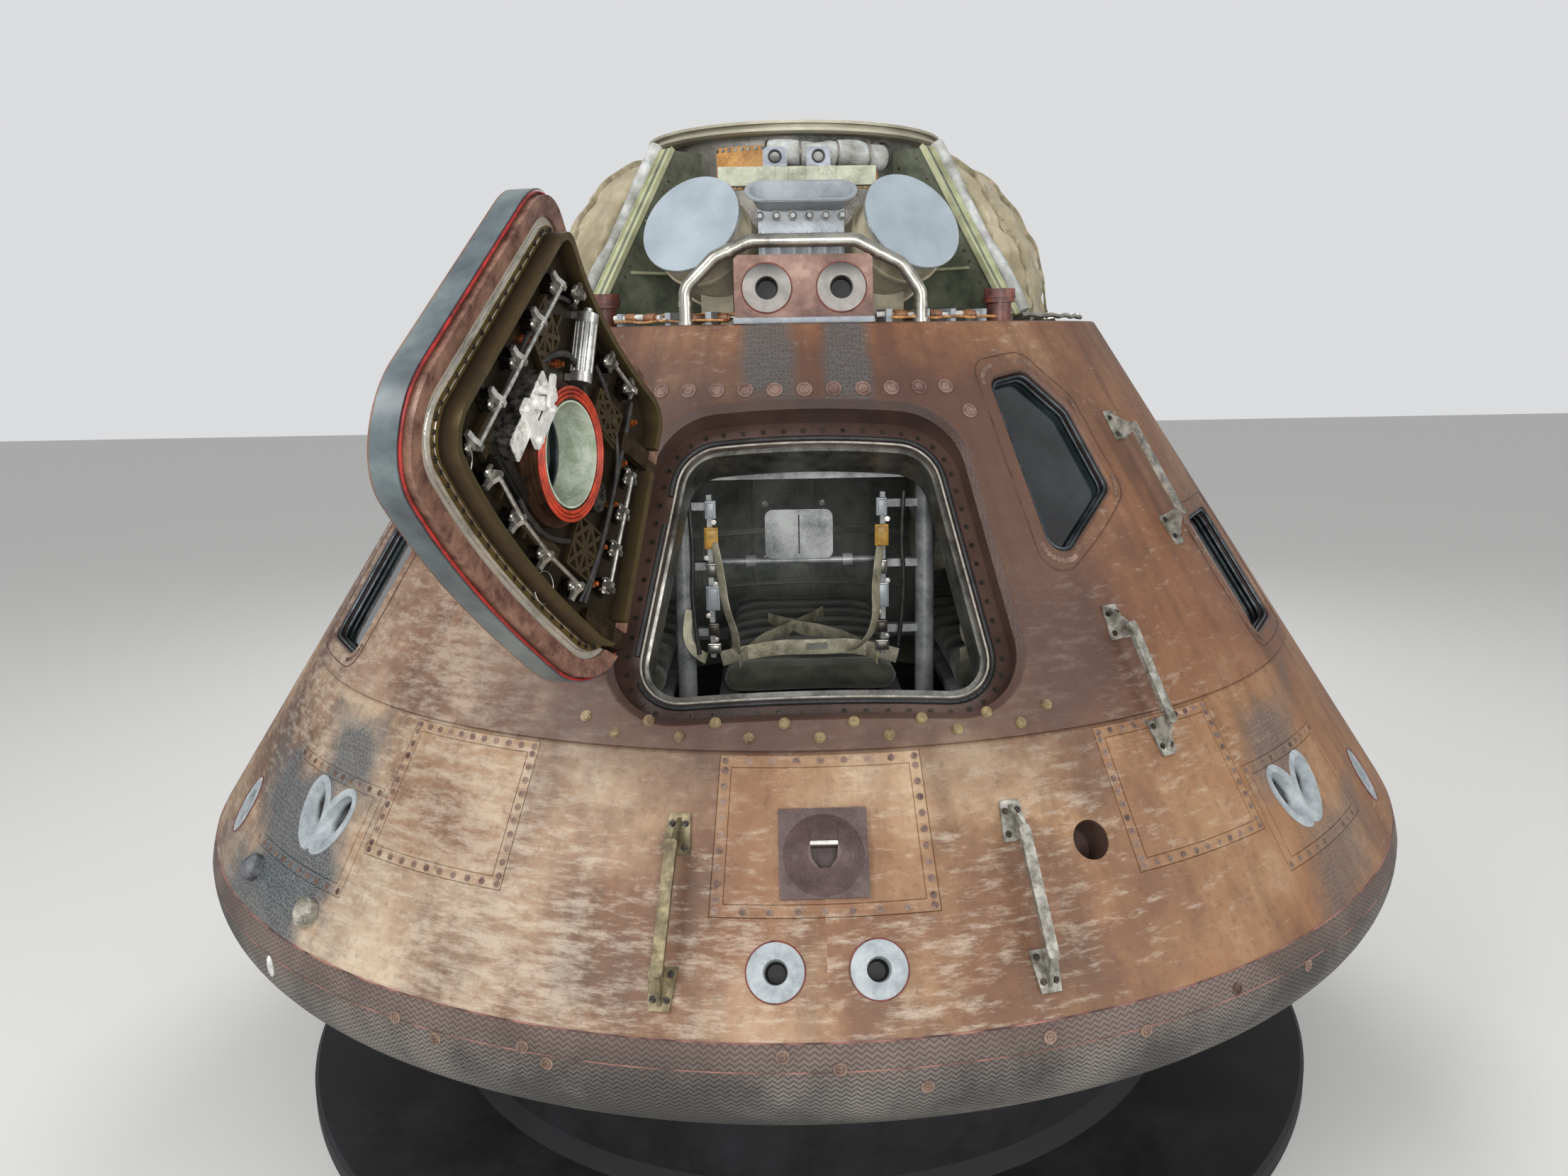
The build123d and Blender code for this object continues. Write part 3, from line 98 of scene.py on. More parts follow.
def add_node(tree, kind, sockets=(), stops=(), **settings):
    """Adds one shader node with its settings, its inputs and its ramp stops."""
    made = tree.nodes.new("ShaderNode" + kind)
    for key, value in settings.items():
        setattr(made, key, value)
    set_inputs(tree, made, dict(sockets))
    for k, (place, code) in enumerate(stops):
        stop = made.color_ramp.elements[k] if k < 2 else made.color_ramp.elements.new(place)
        stop.position = place
        stop.color = linear(code)
    return made


def new_finish(name, colour, roughness, **sockets):
    """A material with its shader, and the shader's uniform values set on its sockets."""
    material = bpy.data.materials.new(name)
    material.use_nodes = True
    shader = material.node_tree.nodes["Principled BSDF"]
    shader.inputs["Base Color"].default_value = linear(colour)
    shader.inputs["Roughness"].default_value = roughness
    for key, value in sockets.items():
        shader.inputs[key.replace("_", " ")].default_value = value
    material.diffuse_color = linear(colour)
    return material, material.node_tree, shader


def wear(piece, material):
    """Gives a piece one material all over."""
    piece.data.materials.clear()
    piece.data.materials.append(material)


studio_paper = new_finish("studio_paper", "#d9d8d5", 0.9)[0]
bpy.ops.mesh.primitive_plane_add(size=60, location=(0, 0, 0))
floor = bpy.context.object
floor.name = "floor"
wear(floor, studio_paper)
floor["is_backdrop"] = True

world = bpy.data.worlds.new("studio")
world.use_nodes = True
bpy.context.scene.world = world
tree = world.node_tree
path = add_node(tree, "LightPath")
backdrop = add_node(tree, "Mix", {"Factor": path.outputs["Is Camera Ray"], 2: 0.62, 3: 0.8},
                    data_type="FLOAT")
set_inputs(tree, tree.nodes["Background"], {"Color": linear("#f2f3f5"), "Strength": backdrop})

lamp_rows = [
    ("key_lamp", (-4.2, -5.0, 5.6), 3.2, 270.0),
    ("fill_lamp", (5.0, -4.4, 3.4), 3.6, 120.0),
    ("back_lamp", (0.5, 5.5, 5.5), 3.5, 230.0),
    ("front_lamp", (0.3, -7.0, 2.9), 2.2, 170.0),
]
for name, place, size, power in lamp_rows:
    aim = (Vector((0, 0, 1.5)) - Vector(place)).to_track_quat("-Z", "Y").to_euler()
    bpy.ops.object.light_add(type="AREA", location=place, rotation=aim)
    lamp = bpy.context.object
    lamp.name = name
    lamp.data.size = size
    lamp.data.energy = power

# Scorched cone: steel honeycomb filled with brown resin, charred on the way down, soaked and
# weathered. Brown and tan clouds, chalky scuffs that run round the cone, soft runs down it, soot
# by the thrusters, a plum-brown field round the hatchway, and pale lining on the cabin side.
lift = 0.330
half_angle = radians(33.0)
c33, s33, t33 = cos(half_angle), sin(half_angle), tan(half_angle)
edge_ring, edge_radius, dish_radius = 1.7604, 0.1956, 4.694
edge_height = dish_radius - sqrt((dish_radius - edge_radius) ** 2 - edge_ring ** 2)
tangent_r, tangent_z = edge_ring + edge_radius * c33, edge_height + edge_radius * s33


def cone_depth(tree, place):
    """Node with the distance of a place under the cone's skin, in metres."""
    part = add_node(tree, "SeparateXYZ", {0: place})
    flat = add_node(tree, "CombineXYZ", {0: part.outputs[0], 1: part.outputs[1]})
    radius = add_node(tree, "VectorMath", {0: flat}, operation="LENGTH")
    skin = add_node(tree, "Math", {0: part.outputs[2], 1: -t33, 2: tangent_r + (tangent_z + lift) * t33},
                    operation="MULTIPLY_ADD")
    gap = add_node(tree, "Math", {0: skin, 1: radius}, operation="SUBTRACT")
    return add_node(tree, "Math", {0: gap, 1: c33}, operation="MULTIPLY")


def scorched(name, tones, soot_spots, soot_tones=("#666c6f", "#32393e"), chalk=0.46, plum=0.75, lined=True):
    """Charred resin skin. tones are four colours from dark to pale, soot_spots are centre, half
    sizes and strength of fields in soot_tones. chalk is the strength of the scuffs and plum that
    of the hatchway's field. A lined skin shows its own sides and the cabin lining under it."""
    material, tree, shader = new_finish(name, tones[1], 0.62)
    place = add_node(tree, "TexCoord").outputs["Object"]
    part = add_node(tree, "SeparateXYZ", {0: place})
    clouds = add_node(tree, "TexNoise", {"Vector": place, "Scale": 2.1, "Detail": 10.0, "Roughness": 0.62})
    tone = add_node(tree, "ValToRGB", {0: clouds},
                    stops=[(0.30, tones[0]), (0.70, tones[3]), (0.44, tones[1]), (0.57, tones[2])])
    # warm rust clouds, wider than the tone's own
    rust_at = add_node(tree, "Mapping", {"Vector": place, "Location": (3.1, 1.7, 0.4)})
    rust = add_node(tree, "TexNoise", {"Vector": rust_at, "Scale": 1.1, "Detail": 6.0, "Roughness": 0.58})
    side = add_node(tree, "Math", {0: part.outputs[0], 1: 0.09, 2: rust}, operation="MULTIPLY_ADD")
    rust_amount = add_node(tree, "MapRange",
                           {"Value": side, "From Min": 0.46, "From Max": 0.68, "To Max": 0.5})
    skin = add_node(tree, "Mix", {"Factor": rust_amount, 6: tone, 7: linear("#80502c")}, data_type="RGBA")
    # runs down the slope, from the azimuth and a little of the height
    turn = add_node(tree, "Math", {0: part.outputs[0], 1: part.outputs[1]}, operation="ARCTAN2")
    run_u = add_node(tree, "Math", {0: turn, 1: 19.0}, operation="MULTIPLY")
    run_v = add_node(tree, "Math", {0: part.outputs[2], 1: 1.5}, operation="MULTIPLY")
    run_at = add_node(tree, "CombineXYZ", {0: run_u, 1: run_v})
    runs = add_node(tree, "TexNoise", {"Vector": run_at, "Scale": 1.0, "Detail": 6.0, "Roughness": 0.6})
    run_amount = add_node(tree, "MapRange",
                          {"Value": runs, "From Min": 0.48, "From Max": 0.72, "To Max": 0.55})
    skin = add_node(tree, "Mix", {"Factor": run_amount, 6: skin, 7: linear(tones[0])}, data_type="RGBA")
    # chalky scuffs: flakes a finger wide, drawn out round the cone, thickest low on the left
    scuff_u = add_node(tree, "Math", {0: turn, 1: 9.0}, operation="MULTIPLY")
    scuff_v = add_node(tree, "Math", {0: part.outputs[2], 1: 22.0}, operation="MULTIPLY")
    scuff_at = add_node(tree, "CombineXYZ", {0: scuff_u, 1: scuff_v})
    scuffs = add_node(tree, "TexNoise",
                      {"Vector": scuff_at, "Scale": 2.1, "Detail": 12.0, "Roughness": 0.74})
    corner = add_node(tree, "VectorMath", {0: place, 1: (-1.15, -1.35, 0.95)}, operation="DISTANCE")
    thick = add_node(tree, "MapRange",
                     {"Value": corner, "From Min": 0.2, "From Max": 2.4, "To Min": 0.10, "To Max": -0.05})
    wide = add_node(tree, "TexNoise", {"Vector": place, "Scale": 1.6, "Detail": 3.0})
    reach = add_node(tree, "Math", {0: wide, 1: 0.35, 2: thick}, operation="MULTIPLY_ADD")
    chalky = add_node(tree, "Math", {0: scuffs, 1: reach}, operation="ADD")
    chalk_amount = add_node(tree, "MapRange",
                            {"Value": chalky, "From Min": 0.70, "From Max": 0.84, "To Max": chalk})
    bloom = add_node(tree, "Math", {0: thick, 1: 2.0, 2: clouds}, operation="MULTIPLY_ADD")
    bloom_amount = add_node(tree, "MapRange",
                            {"Value": bloom, "From Min": 0.54, "From Max": 0.86, "To Max": 0.8 * chalk})
    skin = add_node(tree, "Mix", {"Factor": bloom_amount, 6: skin, 7: linear("#c9bca9")}, data_type="RGBA")
    skin = add_node(tree, "Mix", {"Factor": chalk_amount, 6: skin, 7: linear("#c6b9a6")}, data_type="RGBA")
    # small speckle of filled cells and pits
    speckle = add_node(tree, "TexNoise", {"Vector": place, "Scale": 46.0, "Detail": 6.0, "Roughness": 0.7})
    speck_amount = add_node(tree, "MapRange",
                            {"Value": speckle, "From Min": 0.52, "From Max": 0.68, "To Max": 0.35})
    skin = add_node(tree, "Mix", {"Factor": speck_amount, 6: skin, 7: linear("#4a2c20")}, data_type="RGBA")
    # the plum-brown field round the hatchway
    if plum:
        wide_x = add_node(tree, "Math", {0: part.outputs[0]}, operation="ABSOLUTE")
        off_x = add_node(tree, "Math", {0: wide_x, 1: 1 / 0.70}, operation="MULTIPLY")
        mid_z = add_node(tree, "Math", {0: part.outputs[2], 1: lift + 1.53}, operation="SUBTRACT")
        tall_z = add_node(tree, "Math", {0: mid_z}, operation="ABSOLUTE")
        off_z = add_node(tree, "Math", {0: tall_z, 1: 1 / 0.44}, operation="MULTIPLY")
        off = add_node(tree, "Math", {0: off_x, 1: off_z, 2: 0.3}, operation="SMOOTH_MAX")
        ragged = add_node(tree, "Math", {0: clouds, 1: 0.9, 2: off}, operation="MULTIPLY_ADD")
        front = add_node(tree, "MapRange", {"Value": part.outputs[1], "From Min": -0.7, "From Max": -0.9})
        near = add_node(tree, "MapRange",
                        {"Value": ragged, "From Min": 1.75, "From Max": 1.35, "To Max": plum})
        plum_amount = add_node(tree, "Math", {0: near, 1: front}, operation="MULTIPLY")
        skin = add_node(tree, "Mix", {"Factor": plum_amount, 6: skin, 7: linear("#452f28")},
                        data_type="RGBA")
    # 10 mm cells, drawn a little coarser than the real ones so that they show
    cells = add_node(tree, "TexVoronoi", {"Vector": place, "Scale": 95.0, "Randomness": 0.6},
                     feature="DISTANCE_TO_EDGE")
    cell_edge = add_node(tree, "MapRange", {"Value": cells, "From Max": 0.16})
    # soot: ragged blue-grey fields in which the edges of the cells stand out paler
    soot = add_node(tree, "Mix", {"Factor": cell_edge, 6: linear(soot_tones[0]), 7: linear(soot_tones[1])},
                    data_type="RGBA")
    for centre, half_sizes, strength in soot_spots:
        apart = add_node(tree, "VectorMath", {0: place, 1: centre}, operation="SUBTRACT")
        share = add_node(tree, "VectorMath", {0: apart, 1: half_sizes}, operation="DIVIDE")
        far = add_node(tree, "VectorMath", {0: share}, operation="ABSOLUTE")
        way = add_node(tree, "SeparateXYZ", {0: far})
        flat = add_node(tree, "Math", {0: way.outputs[0], 1: way.outputs[1], 2: 0.25},
                        operation="SMOOTH_MAX")
        away = add_node(tree, "Math", {0: flat, 1: way.outputs[2], 2: 0.25}, operation="SMOOTH_MAX")
        ragged = add_node(tree, "Math", {0: clouds, 1: 2.6, 2: away}, operation="MULTIPLY_ADD")
        amount = add_node(tree, "MapRange",
                          {"Value": ragged, "From Min": 2.55, "From Max": 1.95, "To Max": strength})
        skin = add_node(tree, "Mix", {"Factor": amount, 6: skin, 7: soot}, data_type="RGBA")
    relief = add_node(tree, "Math", {0: cell_edge, 1: 0.35, 2: speckle}, operation="MULTIPLY_ADD")
    rough = add_node(tree, "MapRange",
                     {"Value": clouds, "From Min": 0.3, "From Max": 0.7, "To Min": 0.48, "To Max": 0.72})
    if lined:
        # under the skin: glossy plum sides of the openings, then the pale cabin lining
        depth = cone_depth(tree, place)
        cut = add_node(tree, "MapRange", {"Value": depth, "From Min": 0.002, "From Max": 0.006})
        sides = add_node(tree, "ValToRGB", {0: clouds}, stops=[(0.35, "#33241f"), (0.65, "#584239")])
        lining = add_node(tree, "MapRange", {"Value": depth, "From Min": 0.15, "From Max": 0.155})
        panels = add_node(tree, "ValToRGB", {0: speckle}, stops=[(0.3, "#5d5f57"), (0.7, "#77776d")])
        inner = add_node(tree, "Mix", {"Factor": lining, 6: sides, 7: panels}, data_type="RGBA")
        skin = add_node(tree, "Mix", {"Factor": cut, 6: skin, 7: inner}, data_type="RGBA")
        gloss = add_node(tree, "MapRange", {"Value": cut, "To Min": 1.0, "To Max": 0.62})
        rough = add_node(tree, "Math", {0: rough, 1: gloss}, operation="MULTIPLY")
    bump = add_node(tree, "Bump", {"Height": relief, "Strength": 0.28, "Distance": 0.002})
    set_inputs(tree, shader, {"Base Color": skin, "Normal": bump, "Roughness": rough})
    return material


thruster_soot = [
    ((-1.20, -1.20, 1.36), (0.10, 0.30, 0.11), 0.85), ((-1.36, -1.26, 1.14), (0.17, 0.30, 0.13), 0.9),
    ((-1.46, -1.22, 0.98), (0.22, 0.40, 0.09), 0.85), ((1.22, -1.22, 1.33), (0.13, 0.30, 0.11), 0.5),
    ((1.40, -1.25, 1.06), (0.16, 0.40, 0.12), 0.45), ((0.0, -1.80, 0.90), (0.12, 0.40, 0.05), 0.4),
]
rim_soot = [((-0.105, -0.98, 2.36), (0.062, 0.40, 0.105), 0.9),
            ((0.105, -0.98, 2.36), (0.050, 0.40, 0.105), 0.9)]
cone_tones = ("#46301f", "#6b4c35", "#8f6f50", "#ad9475")
lower_skin = scorched("scorched_ablator_lower", cone_tones, thruster_soot, plum=0.6)
upper_skin = scorched("scorched_ablator_upper", ("#3f281d", "#60402e", "#7c5b43", "#997c60"), rim_soot,
                      ("#565452", "#413e3c"), chalk=0.36)
panel_skin = scorched("scorched_ablator_panel", ("#5a3d28", "#7d5c41", "#9a7b5a", "#b69d7e"), thruster_soot,
                      chalk=0.38, plum=0.0, lined=False)
wear(node["lower_cone_shell"], lower_skin)
wear(node["upper_cone_shell"], upper_skin)
wear(node["access_panels"], panel_skin)

# Aft heat shield: the same honeycomb on the blunt end, burnt black. Rows of zigzag cells 16 mm
# wide stand in relief round the edge, and the dish is charred in wide brown and grey clouds.
aft_char, tree, shader = new_finish("charred_ablator_aft", "#2a2320", 0.7)
place = add_node(tree, "TexCoord").outputs["Object"]
part = add_node(tree, "SeparateXYZ", {0: place})
clouds = add_node(tree, "TexNoise", {"Vector": place, "Scale": 3.0, "Detail": 10.0, "Roughness": 0.64})
burnt = add_node(tree, "ValToRGB", {0: clouds},
                 stops=[(0.34, "#131211"), (0.68, "#463a33"), (0.46, "#221e1c"), (0.56, "#302925")])
turn = add_node(tree, "Math", {0: part.outputs[0], 1: part.outputs[1]}, operation="ARCTAN2")
zig = add_node(tree, "Math", {0: turn, 1: 176.0}, operation="MULTIPLY")
fold = add_node(tree, "Math", {0: zig, 1: 1.0}, operation="PINGPONG")
row = add_node(tree, "Math", {0: part.outputs[2], 1: 84.0, 2: 0.5}, operation="MULTIPLY_ADD")
wave = add_node(tree, "Math", {0: fold, 1: 0.75, 2: row}, operation="MULTIPLY_ADD")
tooth = add_node(tree, "Math", {0: wave, 1: 0.5}, operation="PINGPONG")
ridge = add_node(tree, "MapRange", {"Value": tooth, "From Min": 0.06, "From Max": 0.24})
low_edge = add_node(tree, "MapRange",
                    {"Value": part.outputs[2], "From Min": lift + 0.10, "From Max": lift + 0.24})
line = add_node(tree, "Math", {0: ridge, 1: low_edge}, operation="MULTIPLY")
worn_top = add_node(tree, "MapRange",
                    {"Value": clouds, "From Min": 0.42, "From Max": 0.62, "To Min": 0.22, "To Max": 0.62})
lit = add_node(tree, "Math", {0: line, 1: worn_top}, operation="MULTIPLY")
cell_tone = add_node(tree, "Mix", {"Factor": lit, 6: burnt, 7: linear("#85817b")}, data_type="RGBA")
ragged = add_node(tree, "Math", {0: clouds, 1: 0.10, 2: part.outputs[2]}, operation="MULTIPLY_ADD")
upper = add_node(tree, "MapRange",
                 {"Value": ragged, "From Min": lift + 0.575, "From Max": lift + 0.655, "To Max": 0.42})
brown_top = add_node(tree, "Mix", {"Factor": upper, 6: cell_tone, 7: linear("#6c5348")}, data_type="RGBA")
pits = add_node(tree, "TexNoise", {"Vector": place, "Scale": 55.0, "Detail": 5.0})
relief = add_node(tree, "Math", {0: pits, 1: 0.6, 2: line}, operation="MULTIPLY_ADD")
bump = add_node(tree, "Bump", {"Height": relief, "Strength": 0.6, "Distance": 0.003})
set_inputs(tree, shader, {"Base Color": brown_top, "Normal": bump})
wear(node["aft_heat_shield"], aft_char)

# Seams of the aft shield: a thin pinkish sealant bead at its top and a finer one below, cured
# silicone that was run round by hand.


def select_only(*pieces):
    """Leaves only these pieces selected, the last one active."""
    bpy.ops.object.select_all(action="DESELECT")
    for piece in pieces:
        piece.select_set(True)
        bpy.context.view_layer.objects.active = piece


def pick(piece, kind, test):
    """Opens a piece in edit mode with only the faces or vertices selected that pass a test."""
    select_only(piece)
    bpy.ops.object.mode_set(mode="EDIT")
    bpy.ops.mesh.select_mode(type=kind)
    bpy.ops.mesh.select_all(action="DESELECT")
    bpy.ops.object.mode_set(mode="OBJECT")
    items = piece.data.polygons if kind == "FACE" else piece.data.vertices
    for item in items:
        item.select = test(item)
    bpy.ops.object.mode_set(mode="EDIT")


def settle(piece, name, material, body="craft", smooth=40):
    """Names a finished piece, applies its place, shades it, dresses it and sets what it moves with."""
    if bpy.context.mode == "EDIT_MESH":
        bpy.ops.object.mode_set(mode="OBJECT")
    select_only(piece)
    if piece.type == "CURVE":
        bpy.ops.object.convert(target="MESH")
        piece = bpy.context.object
    bpy.ops.object.transform_apply(location=True, rotation=True, scale=True)
    bpy.ops.object.shade_smooth_by_angle(angle=radians(smooth))
    piece.name = name
    piece.data.name = name
    wear(piece, material)
    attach(piece, body)
    return piece


def run_tube(points, radius, cyclic=False, smooth=True, sides=3):
    """Round tube along points, as a curve that settle() turns to a mesh."""
    bpy.ops.curve.primitive_nurbs_path_add()
    tube = bpy.context.object
    tube.data.splines.clear()
    spline = tube.data.splines.new("NURBS" if smooth else "POLY")
    spline.points.add(len(points) - 1)
    for point, place in zip(spline.points, points):
        point.co = (*place, 1.0)
    spline.use_cyclic_u = cyclic
    if smooth:
        spline.order_u = 3
        spline.use_endpoint_u = not cyclic
        spline.resolution_u = 6
    tube.data.bevel_depth = radius
    tube.data.bevel_resolution = sides
    tube.data.use_fill_caps = True
    return tube


def ring_points(radius, height, count=160):
    """Points round the axis at a radius and a height above the floor."""
    return [(radius * sin(2 * pi * k / count), -radius * cos(2 * pi * k / count), height)
            for k in range(count)]


pink_sealant, tree, shader = new_finish("cured_sealant_pink", "#7d4a44", 0.6)
place = add_node(tree, "TexCoord").outputs["Object"]
stain = add_node(tree, "TexNoise", {"Vector": place, "Scale": 14.0, "Detail": 4.0})
bead_tone = add_node(tree, "ValToRGB", {0: stain}, stops=[(0.38, "#3d2624"), (0.62, "#96645b")])
set_inputs(tree, shader, {"Base Color": bead_tone})
seam_up, low_seam = 0.0766, 0.573
seam_r = edge_ring + sqrt(edge_radius ** 2 - seam_up ** 2)
low_seam_r = edge_ring + sqrt(edge_radius ** 2 - (low_seam - edge_height) ** 2)
settle(run_tube(ring_points(seam_r - 0.0006, lift + edge_height + seam_up + 0.0002), 0.0022, cyclic=True),
       "aft_seam_bead", pink_sealant)
settle(run_tube(ring_points(low_seam_r - 0.0004, lift + low_seam), 0.0016, cyclic=True),
       "lower_seam_bead", pink_sealant)

# Ring plugs: resin plugs over the panel bolts, each with a ring groove and a dark pin hole. They
# stand in rows along the bolted strips of the panels, and alone on the aft edge.


def cone_r(height, depth=0.0):
    """Radius of the cone at a height over the dish, at a depth under the skin."""
    return tangent_r - (height - tangent_z) * t33 - depth / c33


def placed(foot, across, upwards, outwards):
    """Placement at a point, with the directions of its x, y and z."""
    return Matrix.Translation(foot) @ Matrix((across, upwards, outwards)).transposed().to_4x4()


def skin_at(az, height, out=0.0):
    """Placement on the cone: x to the right, y up the slope, z outwards."""
    a = radians(az)
    across = Vector((cos(a), sin(a), 0))
    outwards = Vector((c33 * sin(a), -c33 * cos(a), s33))
    foot = Vector((cone_r(height) * sin(a), -cone_r(height) * cos(a), lift + height)) + outwards * out
    return placed(foot, across, outwards.cross(across), outwards)


def edge_at(az, height, out=0.0):
    """Placement on the rounded aft edge, below the cone."""
    a = radians(az)
    rise = height - edge_height
    run = sqrt(edge_radius ** 2 - rise ** 2)
    across = Vector((cos(a), sin(a), 0))
    outwards = Vector((run * sin(a), -run * cos(a), rise)).normalized()
    foot = Vector(((edge_ring + run) * sin(a), -(edge_ring + run) * cos(a), lift + height)) + outwards * out
    return placed(foot, across, outwards.cross(across), outwards)


def repeat(model, places, name, material, body="craft"):
    """Copies of a model at each place, each with its own mesh, joined as one piece."""
    if bpy.context.mode == "EDIT_MESH":
        bpy.ops.object.mode_set(mode="OBJECT")
    bpy.ops.object.select_all(action="DESELECT")
    for place in places:
        twin = model.copy()
        twin.data = model.data.copy()
        twin.data.transform(place)
        bpy.context.collection.objects.link(twin)
        twin.select_set(True)
        bpy.context.view_layer.objects.active = twin
    bpy.ops.object.join()
    joined = bpy.context.object
    bpy.data.objects.remove(model)
    settle(joined, name, material, body)


def step_face(piece, steps, way=(0, 0, 1)):
    """Shapes the face that looks one way, by rows of inset and lift from its rim inwards."""
    pick(piece, "FACE", lambda face: face.normal.dot(Vector(way)) > 0.9)
    for inset, lifted in steps:
        bpy.ops.mesh.inset(thickness=inset)
        if lifted:
            bpy.ops.mesh.extrude_region_move(TRANSFORM_OT_translate={"value": tuple(Vector(way) * lifted)})


def turned_disc(steps, sides=16):
    """Round fastener about z: a disc of a radius and height, then its rows of inset and lift."""
    radius, rise = steps[0]
    bpy.ops.mesh.primitive_cylinder_add(vertices=sides, radius=radius, depth=rise, location=(0, 0, rise / 2))
    disc = bpy.context.object
    bpy.ops.object.transform_apply(location=True)
    step_face(disc, steps[1:])
    bpy.ops.object.mode_set(mode="OBJECT")
    return disc


def worn_finish(name, low, high, roughness, metallic=0.0, grain_mm=6.0, patch_mm=180.0, dent=0.15):
    """Finish with two tones in patches, finer grain over them, uneven gloss and a little relief."""
    material, tree, shader = new_finish(name, high, roughness, Metallic=metallic)
    place = add_node(tree, "TexCoord").outputs["Object"]
    patch = add_node(tree, "TexNoise",
                     {"Vector": place, "Scale": 1000.0 / patch_mm, "Detail": 8.0, "Roughness": 0.66})
    grain = add_node(tree, "TexNoise",
                     {"Vector": place, "Scale": 1000.0 / grain_mm, "Detail": 3.0, "Roughness": 0.6})
    mixed = add_node(tree, "Math", {0: grain, 1: 0.30, 2: patch}, operation="MULTIPLY_ADD")
    tone = add_node(tree, "ValToRGB", {0: mixed}, stops=[(0.50, low), (0.78, high)])
    sheen = add_node(tree, "MapRange",
                     {"Value": mixed, "From Min": 0.45, "From Max": 0.85,
                      "To Min": min(1.0, roughness * 1.25), "To Max": roughness * 0.8})
    bump = add_node(tree, "Bump", {"Height": grain, "Strength": dent, "Distance": 0.001})
    set_inputs(tree, shader, {"Base Color": tone, "Roughness": sheen, "Normal": bump})
    return material


# plugs of moulded resin: darker than the panels, dull, paler where they are worn
plug_resin = worn_finish("moulded_resin_plug", "#483129", "#8a7263", 0.6, grain_mm=5, patch_mm=60)
strip_w = 0.028
panel_rows = [(-8.1, 8.1, 0.844, 1.146, 9, 9), (-38.3, -24.0, 0.852, 1.146, 11, 10),
              (24.0, 38.3, 0.852, 1.146, 11, 10), (-54.8, -38.9, 0.753, 0.987, 11, 0),
              (38.9, 54.8, 0.753, 0.987, 11, 0)]
plug_places = []
for az_low, az_high, low, high, across, up in panel_rows:
    for height in (low + strip_w / 2 * c33, high - strip_w / 2 * c33):
        aside = degrees(strip_w / 2 / cone_r(height))
        plug_places += [skin_at(az_low + aside + (az_high - az_low - 2 * aside) * k / (across - 1), height)
                        for k in range(across)]
    for az, side in ((az_low, 1), (az_high, -1)):
        for k in range(1, up + 1):
            height = low + (high - low) * k / (up + 1)
            plug_places.append(skin_at(az + side * degrees(strip_w / 2 / cone_r(height)), height))
plug = turned_disc([(0.0082, 0.0012), (0.0022, 0), (0.0012, -0.0018), (0.0014, 0.0014), (0.0012, -0.006)])
repeat(plug, plug_places, "panel_plugs", plug_resin)

edge_rows = [(-29.9, 0.577), (-26.4, 0.556), (-19.7, 0.583), (-18.0, 0.556), (-2.9, 0.607), (0.6, 0.580),
             (6.0, 0.527), (14.0, 0.600), (21.0, 0.566), (29.0, 0.590), (37.0, 0.560)]
plug = turned_disc([(0.015, 0.0022), (0.003, 0), (0.002, -0.003), (0.003, 0.003), (0.003, -0.008)], 20)
repeat(plug, [edge_at(az, height) for az, height in edge_rows], "edge_plugs", plug_resin)

# Hatchway plugs: two finger-thick rows of round ablator plugs above the hatchway and a staggered
# row of small brass-coloured ones under it.
top_plug = worn_finish("turned_resin_plug", "#4f352d", "#83695d", 0.5, grain_mm=8, patch_mm=70)
plug = turned_disc([(0.0205, 0.0026), (0.003, 0), (0.002, -0.002), (0.003, 0.002)], 28)
places = [skin_at(-20.3 + 3.96 * k, 1.942) for k in range(11)]
places += [skin_at(az, 1.878) for az in (-21.5, 21.8)]
repeat(plug, places, "hatchway_top_plugs", top_plug)
brass_plug = worn_finish("tarnished_brass", "#4d3a2a", "#93805a", 0.5, 0.25, grain_mm=6, patch_mm=50)
plug = turned_disc([(0.0135, 0.003), (0.003, 0.004), (0.004, 0)], 20)
places = [skin_at(-20.3 + 2.9 * k, 1.178 if k % 2 else 1.207) for k in range(15)]
repeat(plug, places, "hatchway_low_plugs", brass_plug)

# Thruster mouths: rings of fired silica, pale blue-grey, set in the skin with a dark red bead
# round them. They turn near-black from about 30 mm under the skin inwards.
fired_silica, tree, shader = new_finish("fired_silica_ring", "#9aa0a3", 0.55)
place = add_node(tree, "TexCoord").outputs["Object"]
depth = cone_depth(tree, place)
stain = add_node(tree, "TexNoise", {"Vector": place, "Scale": 22.0, "Detail": 8.0, "Roughness": 0.66})
ring_tone = add_node(tree, "ValToRGB", {0: stain},
                     stops=[(0.34, "#7d8386"), (0.64, "#a6acae"), (0.48, "#92999c")])
deeper = add_node(tree, "Math", {0: stain, 1: 0.02, 2: depth}, operation="MULTIPLY_ADD")
black_deeper_in = add_node(tree, "MapRange", {"Value": deeper, "From Min": 0.028, "From Max": 0.037, "To Max": 0.97})
silica_tone = add_node(tree, "Mix", {"Factor": black_deeper_in, 6: ring_tone, 7: linear("#0d0c0c")}, data_type="RGBA")
bump = add_node(tree, "Bump", {"Height": stain, "Strength": 0.15, "Distance": 0.001})
set_inputs(tree, shader, {"Base Color": silica_tone, "Normal": bump})
for name in ("pitch_nozzles", "roll_nozzles", "yaw_nozzles"):
    wear(node[name], fired_silica)
red_bead = worn_finish("red_silicone_bead", "#3f1411", "#7a2a22", 0.5, grain_mm=4, patch_mm=40)
bead_rows = [("pitch", 3.4, 0.752, 0.0638, 0.0638, 40), ("yaw", 61.8, 0.780, 0.0605, 0.0855, 48)]
